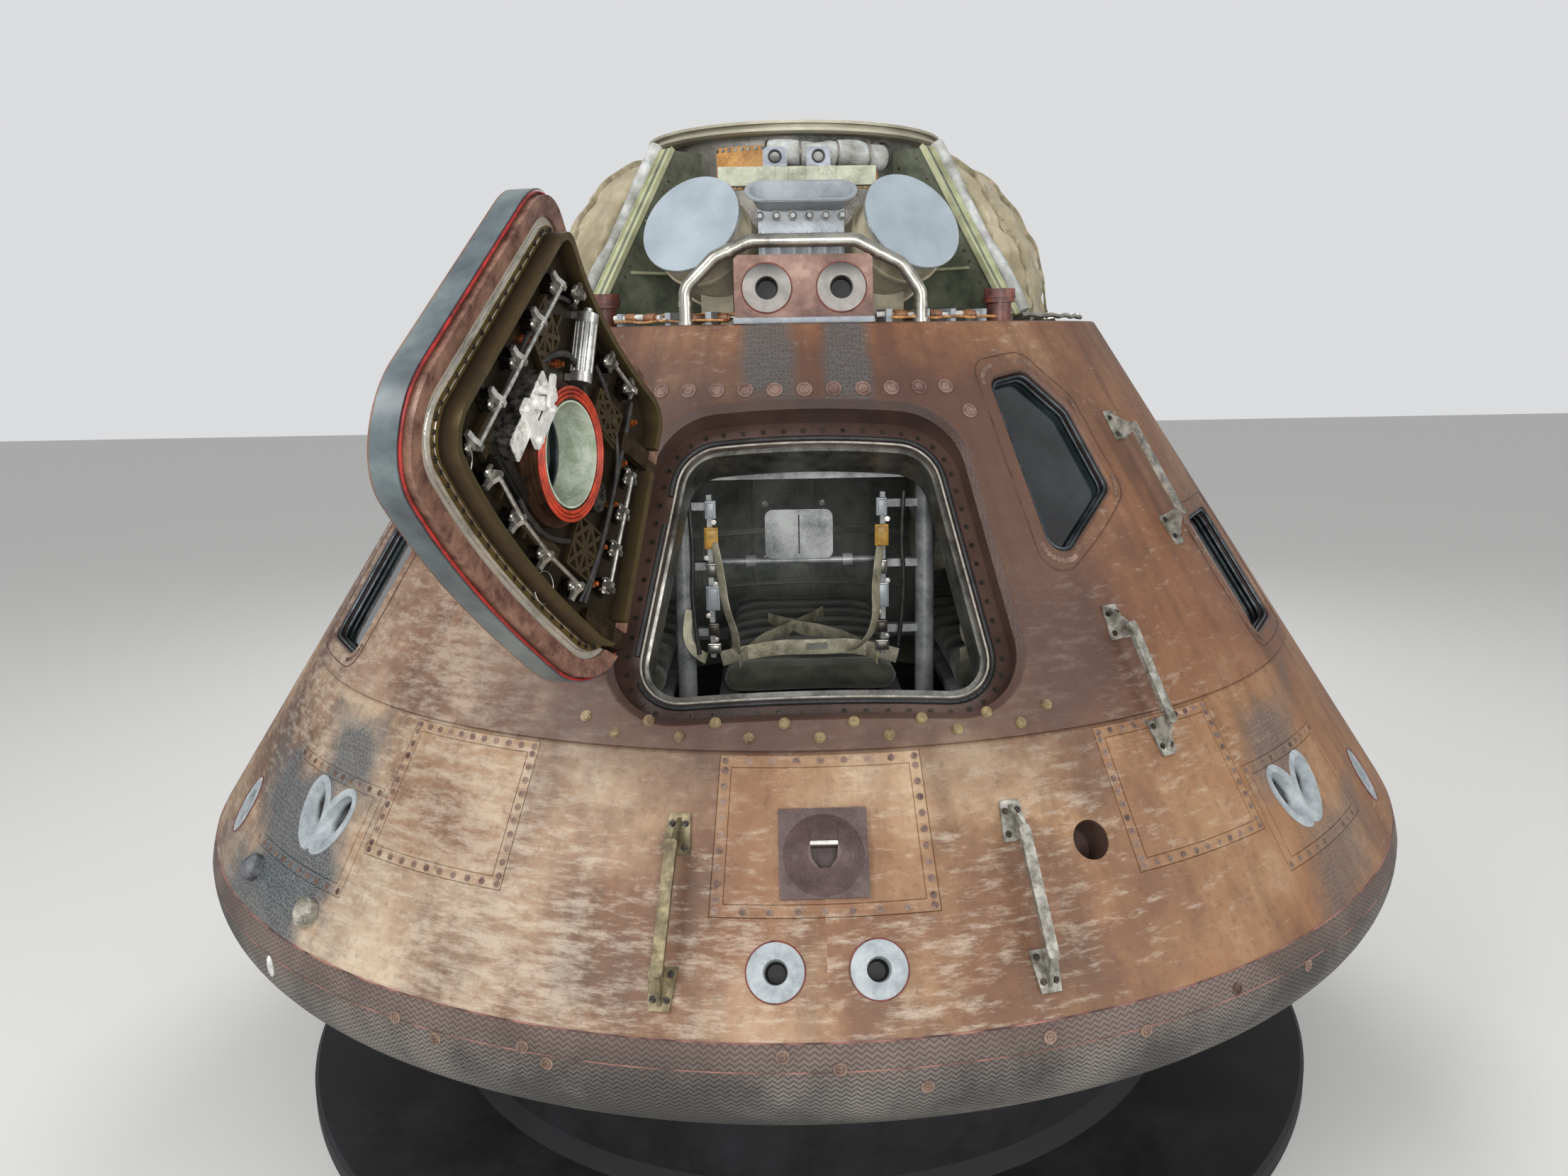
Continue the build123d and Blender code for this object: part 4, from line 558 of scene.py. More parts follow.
for side in (-1, 1):
    for kind, az, height, wide, tall, count in bead_rows:
        ring = [skin_at(side * az, height) @ Vector((wide * cos(2 * pi * k / count),
                                                     tall * sin(2 * pi * k / count), 0.0004))
                for k in range(count)]
        settle(run_tube(ring, 0.0016, cyclic=True), f"{kind}_ring_bead_{side + 2}", red_bead)

# Steam vent scoop: a moulded cover of dark resin, purplish and satin, with a white ceramic lip
# over its mouth.
moulded_cover = worn_finish("moulded_phenolic_plum", "#3d2c2a", "#63504c", 0.46, grain_mm=5, patch_mm=140)
wear(node["vent_scoop"], moulded_cover)
lip_white = worn_finish("white_ceramic_lip", "#b9b6ae", "#e6e4dc", 0.4, grain_mm=4, patch_mm=40)


def block(size, location=(0, 0, 0), bevel=0.0, segments=2):
    """Block of a size at a place. With a bevel, all its edges are rounded."""
    bpy.ops.mesh.primitive_cube_add(size=1, location=location)
    made = bpy.context.object
    made.scale = size
    bpy.ops.object.transform_apply(location=True, scale=True)
    if bevel:
        pick(made, "FACE", lambda face: True)
        bpy.ops.mesh.bevel(offset=bevel, segments=segments)
        bpy.ops.object.mode_set(mode="OBJECT")
    return made


lip = block((0.062, 0.009, 0.010), bevel=0.0035, segments=3)
lip.data.transform(skin_at(0.0, 0.9718, 0.0555))
settle(lip, "scoop_lip", lip_white)
plug = turned_disc([(0.0105, 0.001), (0.0015, 0), (0.001, -0.0008), (0.002, 0.0008)], 20)
repeat(plug,
       [skin_at(-2.0, 0.951, 0.0335) @ Matrix.Rotation(radians(-28), 4, "Y"),
        skin_at(2.0, 0.951, 0.0335) @ Matrix.Rotation(radians(28), 4, "Y")], "scoop_plugs", moulded_cover)

# Two small domes of weathered glass laminate, stone-coloured, the one nearer the front with a
# yellow patch.
dome_laminate, tree, shader = new_finish("weathered_laminate_dome", "#6f6d66", 0.55)
place = add_node(tree, "TexCoord").outputs["Object"]
part = add_node(tree, "SeparateXYZ", {0: place})
blot = add_node(tree, "TexNoise", {"Vector": place, "Scale": 26.0, "Detail": 8.0, "Roughness": 0.68})
stone = add_node(tree, "ValToRGB", {0: blot}, stops=[(0.36, "#5b5850"), (0.62, "#b5b0a2"), (0.5, "#8e897b")])
slate = add_node(tree, "ValToRGB", {0: blot}, stops=[(0.38, "#2c2d30"), (0.64, "#6d6f74")])
which = add_node(tree, "MapRange", {"Value": part.outputs[0], "From Min": -1.36, "From Max": -1.34})
dome_tone = add_node(tree, "Mix", {"Factor": which, 6: slate, 7: stone}, data_type="RGBA")
patch_at = skin_at(-42.6, 0.720, 0.045).translation
patch = add_node(tree, "VectorMath", {0: place, 1: tuple(patch_at)}, operation="DISTANCE")
patch_in = add_node(tree, "MapRange", {"Value": patch, "From Min": 0.030, "From Max": 0.016, "To Max": 0.75})
with_patch = add_node(tree, "Mix", {"Factor": patch_in, 6: dome_tone, 7: linear("#c9a84e")},
                      data_type="RGBA")
bump = add_node(tree, "Bump", {"Height": blot, "Strength": 0.3, "Distance": 0.001})
set_inputs(tree, shader, {"Base Color": with_patch, "Normal": bump})
wear(node["antenna_domes"], dome_laminate)
bpy.ops.mesh.primitive_uv_sphere_add(segments=24, ring_count=12, radius=0.5)
oval = bpy.context.object
oval.data.transform(edge_at(-44.9, 0.545, 0.001) @ Matrix.Diagonal((0.030, 0.060, 0.014, 1)))
white_cap = worn_finish("white_enamel_cap", "#a9aaa6", "#dcdcd6", 0.4, grain_mm=4, patch_mm=30)
settle(oval, "edge_oval_fitting", white_cap, smooth=60)

# Handholds: forged alloy bars on bolted feet. The left front pair is olive and khaki with age,
# the right ones are scuffed bare metal.
olive_alloy, tree, shader = new_finish("olive_chromated_alloy", "#7d7550", 0.45, Metallic=0.55)
place = add_node(tree, "TexCoord").outputs["Object"]
part = add_node(tree, "SeparateXYZ", {0: place})
rub = add_node(tree, "TexNoise", {"Vector": place, "Scale": 30.0, "Detail": 8.0, "Roughness": 0.66})
olive = add_node(tree, "ValToRGB", {0: rub}, stops=[(0.36, "#4a4230"), (0.64, "#8a7f62"), (0.5, "#6a6048")])
bare = add_node(tree, "ValToRGB", {0: rub}, stops=[(0.36, "#5e5a52"), (0.64, "#b3b0a6"), (0.5, "#8c8980")])
which = add_node(tree, "MapRange", {"Value": part.outputs[0], "From Min": 0.05, "From Max": 0.1})
bar_tone = add_node(tree, "Mix", {"Factor": which, 6: olive, 7: bare}, data_type="RGBA")
bump = add_node(tree, "Bump", {"Height": rub, "Strength": 0.12, "Distance": 0.001})
set_inputs(tree, shader, {"Base Color": bar_tone, "Normal": bump})
wear(node["handholds"], olive_alloy)
dark_bolt = worn_finish("oxidised_steel_bolt", "#2b2724", "#5c554c", 0.45, 0.8, grain_mm=3, patch_mm=20)
hold_rows = [(-10.8, 0.855, 0.420), (14.6, 0.855, 0.420), (31.0, 1.225, 0.400), (48.3, 1.672, 0.430)]
bolt = turned_disc([(0.0085, 0.0016), (0.0025, 0.0034), (0.0028, -0.0022)], 6)
bolt_places = []
for az, height, length in hold_rows:
    for end in (-1, 1):
        spot = skin_at(az, height, 0.0068) @ Matrix.Translation((0, end * (length / 2 - 0.046), 0))
        spot = spot @ Matrix.Rotation(radians(90 - 90 * end), 4, "Z")
        bolt_places += [spot @ Matrix.Translation((x, y, 0)) for x, y in
                        ((-0.019, -0.030), (0.019, -0.030), (-0.015, 0.022), (0.015, 0.022))]
repeat(bolt, bolt_places, "handhold_bolts", dark_bolt)

# Windows: dark glass set back in the wall, each with a slim metal retainer in its opening, a thin
# cut line round it on the skin and a row of small plugs along that line.
window_glass, tree, shader = new_finish("coated_window_glass", "#0a0d0f", 0.08, Specular_IOR_Level=0.16,
                                        Coat_Weight=1.0)
place = add_node(tree, "TexCoord").outputs["Object"]
haze = add_node(tree, "TexNoise", {"Vector": place, "Scale": 3.5, "Detail": 6.0, "Roughness": 0.6})
pane_tone = add_node(tree, "ValToRGB", {0: haze}, stops=[(0.4, "#090b0d"), (0.68, "#27302f")])
smear = add_node(tree, "MapRange",
                 {"Value": haze, "From Min": 0.4, "From Max": 0.7, "To Min": 0.03, "To Max": 0.16})
set_inputs(tree, shader, {"Base Color": pane_tone, "Roughness": smear})
for name in ("front_windows", "side_windows", "hatch_window"):
    wear(node[name], window_glass)


def rounded(corners, radius, steps=5):
    """Corners of a flat outline, each rounded to an arc. A short side gives up to 0.62 of its length."""
    out = []
    for k, corner in enumerate(corners):
        here = Vector(corner)
        back, ahead = Vector(corners[k - 1]) - here, Vector(corners[(k + 1) % len(corners)]) - here
        half = back.angle(ahead) / 2
        reach = min(radius / tan(half), 0.62 * back.length, 0.62 * ahead.length)
        centre = here + (back.normalized() + ahead.normalized()).normalized() * reach / cos(half)
        start, stop = here + back.normalized() * reach - centre, here + ahead.normalized() * reach - centre
        for j in range(steps + 1):
            out.append(centre + start.slerp(stop, j / steps).normalized() * start.length)
    return [(p.x, p.y) for p in out]


window_metal = worn_finish("anodised_window_frame", "#23272a", "#53595d", 0.38, 0.8, grain_mm=4, patch_mm=80)
line_ink = worn_finish("filled_cut_line", "#2a1812", "#5b3c2c", 0.6, grain_mm=5, patch_mm=40)
front_rows = [(-0.122, 0.240), (0.014, 0.262), (0.118, 0.134), (0.150, -0.112), (-0.094, -0.272),
              (-0.158, -0.264)]
side_rows = [(-0.150, -0.195), (0.150, -0.195), (0.150, 0.195), (-0.150, 0.195)]
window_rows = [("front", 33.5, 1.760, front_rows), ("side", 61.0, 1.385, side_rows)]
window_plugs = []
for kind, az, height, corners in window_rows:
    for side in (-1, 1):
        here = skin_at(side * az, height)
        outline = [(side * x, y) for x, y in rounded(corners, 0.042)]
        for rank, (out, inset) in enumerate(((-0.020, 0.006), (-0.036, 0.009))):
            shrunk = [(x * (1 - inset / 0.14), y * (1 - inset / 0.22)) for x, y in outline]
            ring = [here @ Vector((x, y, out)) for x, y in shrunk]
            settle(run_tube(ring, 0.0055, cyclic=True, smooth=False),
                   f"{kind}_window_rim_{rank}_{'lxr'[side + 1]}", window_metal)
        fence = []
        grown = [(x * (1 + 0.052 / 0.16), y * (1 + 0.052 / 0.24)) for x, y in corners]
        for x, y in rounded(grown, 0.060, 8):
            up = height + y * c33
            fence.append((side * az + degrees(side * x / cone_r(up)), up))
        dense = []
        for k, (a, h) in enumerate(fence):
            b, g = fence[(k + 1) % len(fence)]
            dense += [(a + (b - a) * j / 6, h + (g - h) * j / 6) for j in range(6)]
        ring = [skin_at(a, h, 0.0002).translation for a, h in dense]
        settle(run_tube(ring, 0.0016, cyclic=True, smooth=False),
               f"{kind}_window_line_{'lxr'[side + 1]}", line_ink)
        fence = [(side * az + (a - side * az) * 0.90, height + (h - height) * 0.92) for a, h in dense]
        window_plugs += [skin_at(a, h) for a, h in fence[::9]]
plug = turned_disc([(0.0070, 0.0010), (0.0018, 0), (0.0010, -0.0012), (0.0012, 0.0010)], 14)
repeat(plug, window_plugs, "window_plugs", plug_resin)

# Hatchway: the wall's sill carries a black rubber seal and a row of bolts through a machined
# alloy frame, rubbed bright in patches.
hatch_low, hatch_high = 1.232, 1.906
hatch_half_low, hatch_half_high, hatch_corner = 0.520, 0.374, 0.165
hatch_mid = (hatch_low + hatch_high) / 2
hatch_rise = (hatch_high - hatch_low) / c33
hatch_plane = skin_at(0, hatch_mid)
hatch_outline = rounded([
    (-hatch_half_low, -hatch_rise / 2), (hatch_half_low, -hatch_rise / 2),
    (hatch_half_high, hatch_rise / 2), (-hatch_half_high, hatch_rise / 2)], hatch_corner, 9)


def hatch_point(x, y, depth):
    """Point under or over the hatch's flat outline, at a depth under the cone's skin."""
    near, far = -0.30, 0.10
    for _ in range(30):
        mid = (near + far) / 2
        spot = hatch_plane @ Vector((x, y, mid))
        under = (cone_r(spot.z - lift) - spot.xy.length) * c33
        near, far = (mid, far) if under > depth else (near, mid)
    return hatch_plane @ Vector((x, y, near))


def hatch_line(inset, depth, spacing=0.02):
    """Evenly spaced points along the hatch's outline, at an inset and a depth."""
    line = []
    count = len(hatch_outline)
    for k in range(count):
        (ax, ay), (bx, by) = hatch_outline[k], hatch_outline[(k + 1) % count]
        run = Vector((bx - ax, by - ay))
        if run.length < 1e-6:
            continue
        aside = Vector((run.y, -run.x)).normalized()
        line.append((Vector((ax, ay)), run, aside))
    total = sum(run.length for _, run, _ in line)
    steps = max(8, round(total / spacing))
    spots, done, at = [], 0.0, 0
    for j in range(steps):
        want = total * j / steps
        while want > done + line[at][1].length and at < len(line) - 1:
            done += line[at][1].length
            at += 1
        start, run, aside = line[at]
        spot = start + run * ((want - done) / run.length) - aside * inset
        spots.append(hatch_point(spot.x, spot.y, depth))
    return spots


def seat_on(spots, inwards=False):
    """Placement at each spot, z out of the cone, or into the cabin."""
    places = []
    for spot in spots:
        az = degrees(atan2(spot.x, -spot.y))
        turned = skin_at(az, 1.0).to_3x3().to_4x4()
        if inwards:
            turned = turned @ Matrix.Rotation(pi, 4, "Y")
        places.append(Matrix.Translation(spot) @ turned)
    return places


frame_alloy = worn_finish("machined_frame_alloy", "#4c4a46", "#9c9a92", 0.36, 0.9, grain_mm=3, patch_mm=90)
wear(node["hatchway_frame"], frame_alloy)
black_rubber = worn_finish("black_rubber_seal", "#101010", "#2a2a2b", 0.5, grain_mm=4, patch_mm=60)
settle(run_tube(hatch_line(0.059, 0.093), 0.0028, cyclic=True), "hatchway_bead",
       worn_finish("pale_sealant", "#77736a", "#b5b1a6", 0.5, grain_mm=4, patch_mm=40))
bolt = turned_disc([(0.0062, 0.0030), (0.0018, 0), (0.0010, -0.0016)], 12)
repeat(bolt, seat_on(hatch_line(0.024, 0.0948, 0.052)), "hatchway_bolts", dark_bolt)

# Side hatch: a brown ablator shell with a blue-grey painted edge. It rides on its body and is
# drawn open, so patterns read it turned back to where it shuts.
hinge = frame["record"]["behaviour"]["joints"][0]
pivot, hinge_line = Vector(hinge["pos_m"]), Vector(hinge["axis"])
swing = Matrix.Rotation(-radians(hinge["range_deg"][1]), 4, hinge_line)
opened = Matrix.Translation(pivot) @ swing @ Matrix.Translation(-pivot)
shut_again = opened.inverted()


def shut_place(tree):
    """Node with the hatch's Object coordinates, turned back to where the hatch is shut."""
    place = add_node(tree, "TexCoord").outputs["Object"]
    return add_node(tree, "Mapping",
                    {"Vector": place, "Location": tuple(shut_again.translation),
                     "Rotation": tuple(shut_again.to_euler("XYZ"))})


# the hatchway's rubber stops short of the two arms, which pass through it when the hatch is shut
seal_line = hatch_line(0.047, 0.092, 0.008)
clear = []
for spot in seal_line:
    passing = opened @ spot
    clear.append((node["hinge_arms"].closest_point_on_mesh(passing)[1] - passing).length > 0.013)
first = clear.index(False)
runs = [[]]
for spot, free in zip(seal_line[first:] + seal_line[:first], clear[first:] + clear[:first]):
    if free:
        runs[-1].append(spot)
    elif runs[-1]:
        runs.append([])
for rank, run in enumerate(run for run in runs if len(run) > 3):
    settle(run_tube(run, 0.0065), f"hatchway_seal_{rank}", black_rubber)

hatch_ablator, tree, shader = new_finish("scorched_ablator_hatch", "#5b3527", 0.6)
place = shut_place(tree)
clouds = add_node(tree, "TexNoise", {"Vector": place, "Scale": 2.6, "Detail": 10.0, "Roughness": 0.64})
skin = add_node(tree, "ValToRGB", {0: clouds},
                stops=[(0.30, "#3f281d"), (0.70, "#a08468"), (0.44, "#61412f"), (0.57, "#7e5d46")])
grain = add_node(tree, "TexNoise", {"Vector": place, "Scale": 50.0, "Detail": 6.0, "Roughness": 0.7})
edge_paint = add_node(tree, "ValToRGB", {0: clouds},
                      stops=[(0.38, "#3c4448"), (0.62, "#76807f"), (0.5, "#596467")])
depth = cone_depth(tree, place)
rubbed = add_node(tree, "Math", {0: grain, 1: 0.006, 2: depth}, operation="MULTIPLY_ADD")
edge_in = add_node(tree, "MapRange", {"Value": rubbed, "From Min": 0.0045, "From Max": 0.0075})
whole = add_node(tree, "Mix", {"Factor": edge_in, 6: skin, 7: edge_paint}, data_type="RGBA")
gloss = add_node(tree, "MapRange", {"Value": edge_in, "To Min": 0.62, "To Max": 0.34})
bump = add_node(tree, "Bump", {"Height": grain, "Strength": 0.2, "Distance": 0.001})
set_inputs(tree, shader, {"Base Color": whole, "Roughness": gloss, "Normal": bump})
wear(node["hatch_shield"], hatch_ablator)

# Hatch seal and pan: red-brown primer worn to beige, with one bright red silicone lip, then a
# rubbed land, an olive-gold chromated band and the dark bronze machined pan.
red_silicone = worn_finish("red_silicone_seal", "#5c1512", "#a92a24", 0.42, grain_mm=4, patch_mm=60)
wear(node["hatch_seal"],
     worn_finish("rubbed_red_brown_primer", "#4a2a22", "#8c6a58", 0.45, grain_mm=4, patch_mm=50))
pan_alloy, tree, shader = new_finish("chromated_pan_alloy", "#6b5a38", 0.4, Metallic=0.65)
place = shut_place(tree)
depth = cone_depth(tree, place)
rub = add_node(tree, "TexNoise", {"Vector": place, "Scale": 16.0, "Detail": 9.0, "Roughness": 0.68})
shake = add_node(tree, "Math", {0: rub, 1: 0.0035, 2: depth}, operation="MULTIPLY_ADD")
band = add_node(tree, "MapRange", {"Value": shake, "From Min": 0.057, "From Max": 0.132})
bands = add_node(tree, "ValToRGB", {0: band},
                 stops=[(0.0, "#54231c"), (1.0, "#645638"), (0.12, "#7c4b3a"), (0.185, "#a58a72"),
                        (0.20, "#d6d2c6"), (0.335, "#d6d2c6"), (0.35, "#7d6a3e"), (0.455, "#6b5a36"),
                        (0.475, "#2c2519"), (0.62, "#453a28")])
dulled = add_node(tree, "MapRange", {"Value": rub, "From Min": 0.45, "From Max": 0.70, "To Max": 0.6})
pan_tone = add_node(tree, "Mix", {"Factor": dulled, 6: bands, 7: linear("#332a20")}, data_type="RGBA")
sheen = add_node(tree, "MapRange",
                 {"Value": rub, "From Min": 0.3, "From Max": 0.7, "To Min": 0.32, "To Max": 0.55})
bump = add_node(tree, "Bump", {"Height": rub, "Strength": 0.15, "Distance": 0.001})
set_inputs(tree, shader, {"Base Color": pan_tone, "Roughness": sheen, "Normal": bump})
wear(node["hatch_structure"], pan_alloy)
bright_bead = worn_finish("rubbed_bright_alloy", "#8b8a84", "#dddbd3", 0.28, 0.85, grain_mm=3, patch_mm=60)


def on_pan(x, height, depth):
    """Placement on the hatch's inner face as it stands open: x as seen from the cabin, z off the pan."""
    az = degrees(asin(x / cone_r(height, depth)))
    return opened @ skin_at(az, height, -depth) @ Matrix.Rotation(pi, 4, "Y")


def open_line(inset, depth):
    """The hatch's outline at an inset and depth, as the hatch stands open."""
    return [opened @ spot for spot in hatch_line(inset, depth)]


settle(run_tube(open_line(0.0135, 0.0580), 0.0036, cyclic=True), "seal_lip", red_silicone, "hatch")
settle(run_tube(open_line(0.0785, 0.0705), 0.0030, cyclic=True), "pan_bead", bright_bead, "hatch")
settle(run_tube(open_line(0.0925, 0.0825), 0.0018, cyclic=True), "pan_inner_bead", bright_bead, "hatch")
bolt = turned_disc([(0.0048, 0.0034), (0.0015, 0), (0.0008, -0.0014)], 10)
repeat(bolt, [opened @ place for place in seat_on(hatch_line(0.0855, 0.0818, 0.040), True)], "pan_bolts",
       dark_bolt, "hatch")

# Latches, gearbox and gas cylinder: black oxide bodies with bright steel cranks, rods and levers.
# The L plate over the gearbox is bare and polished.


def black_and_bright(name, line_depth, low, dulled, bright, metallic):
    """Black oxide up to a depth off the pan, bright bare metal beyond it."""
    material, tree, shader = new_finish(name, bright, 0.3, Metallic=metallic)
    place = shut_place(tree)
    depth = cone_depth(tree, place)
    rub = add_node(tree, "TexNoise", {"Vector": place, "Scale": 60.0, "Detail": 6.0, "Roughness": 0.66})
    shake = add_node(tree, "Math", {0: rub, 1: 0.008, 2: depth}, operation="MULTIPLY_ADD")
    over = add_node(tree, "MapRange",
                    {"Value": shake, "From Min": line_depth + 0.003, "From Max": line_depth + 0.006})
    dark = add_node(tree, "ValToRGB", {0: rub}, stops=[(0.4, low), (0.66, "#55524b")])
    pale = add_node(tree, "ValToRGB", {0: rub}, stops=[(0.34, dulled), (0.62, bright)])
    tone = add_node(tree, "Mix", {"Factor": over, 6: dark, 7: pale}, data_type="RGBA")
    bump = add_node(tree, "Bump", {"Height": rub, "Strength": 0.1, "Distance": 0.001})
    set_inputs(tree, shader, {"Base Color": tone, "Normal": bump})
    return material


wear(node["hatch_latches"],
     black_and_bright("latch_black_and_steel", 0.116, "#16130f", "#9b9992", "#d9d7cf", 0.9))
wear(node["hatch_gearbox"],
     black_and_bright("gearbox_black_and_white_steel", 0.151, "#141312", "#d9d7d0", "#f4f3ee", 0.25))
ribbed_steel = worn_finish("ribbed_bright_steel", "#8d8c88", "#e6e5e0", 0.28, 0.9, grain_mm=2, patch_mm=60)
wear(node["hatch_gas_cylinder"], ribbed_steel)
bronze_arm = worn_finish("dark_bronze_arm", "#1d1914", "#5a4a33", 0.42, 0.8, grain_mm=4, patch_mm=50)
wear(node["hinge_arms"], bronze_arm)
wear(node["hinge_lugs"], bronze_arm)

# Port in the hatch: dark flange with three red-orange silicone rings and a pale green inner sleeve.
port_dark = worn_finish("port_flange_bronze", "#2a1f18", "#6d4f3a", 0.4, 0.7, grain_mm=4, patch_mm=60)
wear(node["hatch_port_ring"], port_dark)
orange_silicone = worn_finish("red_orange_silicone", "#7c2414", "#c5452a", 0.42, grain_mm=3, patch_mm=40)


def hoop(place, radius, thick, around, across=8):
    """Round hoop about the z of a placement: its radius, half its thickness and its two counts."""
    bpy.ops.mesh.primitive_torus_add(major_radius=radius, minor_radius=thick, major_segments=around,
                                     minor_segments=across)
    made = bpy.context.object
    made.data.transform(place)
    return made


def apply_modifier(piece, kind, **settings):
    """Adds one modifier with its settings to the active piece and applies it."""
    made = piece.modifiers.new(kind.lower(), kind)
    for key, value in settings.items():
        setattr(made, key, value)
    bpy.ops.object.modifier_apply(modifier=made.name)


for rank, radius in enumerate((0.1360, 0.1275, 0.1190)):
    settle(hoop(on_pan(0.0, 1.530, 0.1508), radius, 0.0038, 64), f"port_ring_{rank}", orange_silicone,
           "hatch", 80)
bpy.ops.mesh.primitive_cylinder_add(vertices=64, radius=0.1105, depth=0.088, end_fill_type="NOTHING")
sleeve = bpy.context.object
apply_modifier(sleeve, "SOLIDIFY", thickness=0.004)
sleeve.data.transform(on_pan(0.0, 1.530, 0.107))
settle(sleeve, "port_sleeve",
       worn_finish("pale_green_sleeve", "#8f9d84", "#cfd6c4", 0.45, grain_mm=4, patch_mm=60), "hatch")

# Machined plates on the pan: thick chromated webs with triangular pockets milled into them.
for rank, (x, height, wide, tall) in enumerate((
        (-0.205, 1.440, 0.100, 0.120), (0.185, 1.655, 0.120, 0.100), (-0.135, 1.700, 0.110, 0.080),
        (0.245, 1.405, 0.060, 0.080), (-0.055, 1.385, 0.150, 0.040))):
    plate = block((wide, tall, 0.020), (0, 0, 0.010))
    pick(plate, "FACE", lambda face: face.normal.z > 0.9)
    bpy.ops.mesh.subdivide(number_cuts=1)
    bpy.ops.mesh.poke()
    bpy.ops.mesh.inset(thickness=0.005, use_individual=True)
    bpy.ops.mesh.extrude_region_move(TRANSFORM_OT_translate={"value": (0, 0, -0.013)})
    bpy.ops.object.mode_set(mode="OBJECT")
    plate.data.transform(on_pan(x, height, 0.0905))
    settle(plate, f"pan_web_{rank}", pan_alloy, "hatch")

# Cable runs on the hatch: black sleeved cables down the hinge side and round the port, and short
# copper-coloured fittings.
cable_sleeve = worn_finish("black_braided_sleeve", "#0e0e0e", "#33312d", 0.5, grain_mm=3, patch_mm=30)
copper = worn_finish("copper_fitting", "#7d3d1e", "#cf7f49", 0.36, 0.85, grain_mm=3, patch_mm=20)
cable_rows = [
    [(-0.262, 1.350, 0.104), (-0.262, 1.420, 0.104), (-0.250, 1.520, 0.106), (-0.232, 1.620, 0.104),
     (-0.214, 1.720, 0.104), (-0.200, 1.775, 0.104)],
    [(-0.252, 1.350, 0.100), (-0.250, 1.420, 0.112), (-0.239, 1.520, 0.112), (-0.222, 1.620, 0.112),
     (-0.190, 1.690, 0.104), (-0.120, 1.745, 0.104), (-0.040, 1.760, 0.104)],
    [(-0.150, 1.430, 0.104), (-0.060, 1.385, 0.116), (0.060, 1.385, 0.116), (0.150, 1.430, 0.104),
     (0.165, 1.470, 0.104)],
    [(0.262, 1.380, 0.104), (0.252, 1.470, 0.118), (0.246, 1.560, 0.110), (0.222, 1.680, 0.104),
     (0.170, 1.760, 0.104), (0.100, 1.785, 0.104)],
    [(0.150, 1.620, 0.104), (0.110, 1.690, 0.118), (0.010, 1.700, 0.114), (-0.060, 1.680, 0.104)],
]
for rank, rows in enumerate(cable_rows):
    cable = run_tube([on_pan(*row).translation for row in rows], 0.0052 if rank % 2 else 0.0065)
    settle(cable, f"hatch_cable_{rank}", cable_sleeve, "hatch", 80)
fitting = turned_disc([(0.0095, 0.010), (0.002, 0.006), (0.002, 0.008), (0.0015, -0.003)], 12)
repeat(fitting, [on_pan(x, height, 0.0925) for x, height in (
    (-0.272, 1.395), (-0.262, 1.470), (-0.250, 1.560), (-0.238, 1.650), (-0.226, 1.740), (0.090, 1.665),
    (-0.080, 1.672), (0.235, 1.600))], "hatch_fittings", copper, "hatch")
# dark box low on the pan and two thin rings of safety cable by it
long_box = block((0.150, 0.034, 0.028), (0, 0, 0.014))
step_face(long_box, [(0.005, 0.006)])
bpy.ops.mesh.select_all(action="SELECT")
bpy.ops.mesh.bevel(offset=0.0012, segments=2)
bpy.ops.object.mode_set(mode="OBJECT")
long_box.data.transform(on_pan(0.125, 1.4050, 0.0925))
settle(long_box, "hatch_long_box", worn_finish("black_anodised_box", "#131312", "#35332f", 0.4, 0.6),
       "hatch")
for rank, (x, height) in enumerate(((0.262, 1.335), (-0.135, 1.327))):
    settle(hoop(on_pan(x, height, 0.0955), 0.034, 0.0016, 40, 6), f"safety_ring_{rank}", bright_bead,
           "hatch", 80)

# Tunnel and top ring: bare alloy tube with two riveted orange primed panels in front, under a
# pale anodised docking ring with two lips and a row of bolts.
tunnel_alloy = worn_finish("weathered_tunnel_alloy", "#3c3a36", "#85827a", 0.45, 0.6, grain_mm=5,
                           patch_mm=160)
for name in ("tunnel", "tunnel_hatch"):
    wear(node[name], tunnel_alloy)
ring_anodised = worn_finish("pale_anodised_ring", "#98937f", "#bbb6a3", 0.5, 0.25, grain_mm=3, patch_mm=240,
                            dent=0.04)
wear(node["top_ring"], ring_anodised)
rim_height, tunnel_r = 2.110, 0.425
deck = lift + rim_height


def round_tunnel(az, height, out=0.0, radius=tunnel_r):
    """Placement on an upright wall round the axis: x to the right, y up, z outwards."""
    a = radians(az)
    across, outwards = Vector((cos(a), sin(a), 0)), Vector((sin(a), -cos(a), 0))
    foot = outwards * (radius + out) + Vector((0, 0, lift + height))
    return placed(foot, across, Vector((0, 0, 1)), outwards)


orange_primer = worn_finish("orange_zinc_primer", "#8a5a26", "#c9954c", 0.5, grain_mm=6, patch_mm=110)
rivet_steel = worn_finish("dulled_rivet_alloy", "#4b4740", "#9a968a", 0.45, 0.7, grain_mm=3, patch_mm=30)
for rank, (az_low, az_high) in enumerate(((-36, -6), (9, 36))):
    bpy.ops.mesh.primitive_cylinder_add(vertices=144, radius=tunnel_r + 0.0035, depth=0.124,
                                        end_fill_type="NOTHING", location=(0, 0, deck + 0.468))
    panel = bpy.context.object
    bpy.ops.object.transform_apply(location=True)
    pick(panel, "FACE", lambda face: not az_low < degrees(atan2(face.center.x, -face.center.y)) < az_high)
    bpy.ops.mesh.delete(type="FACE")
    bpy.ops.object.mode_set(mode="OBJECT")
    apply_modifier(panel, "SOLIDIFY", thickness=0.003)
    settle(panel, f"tunnel_panel_{rank}", orange_primer)
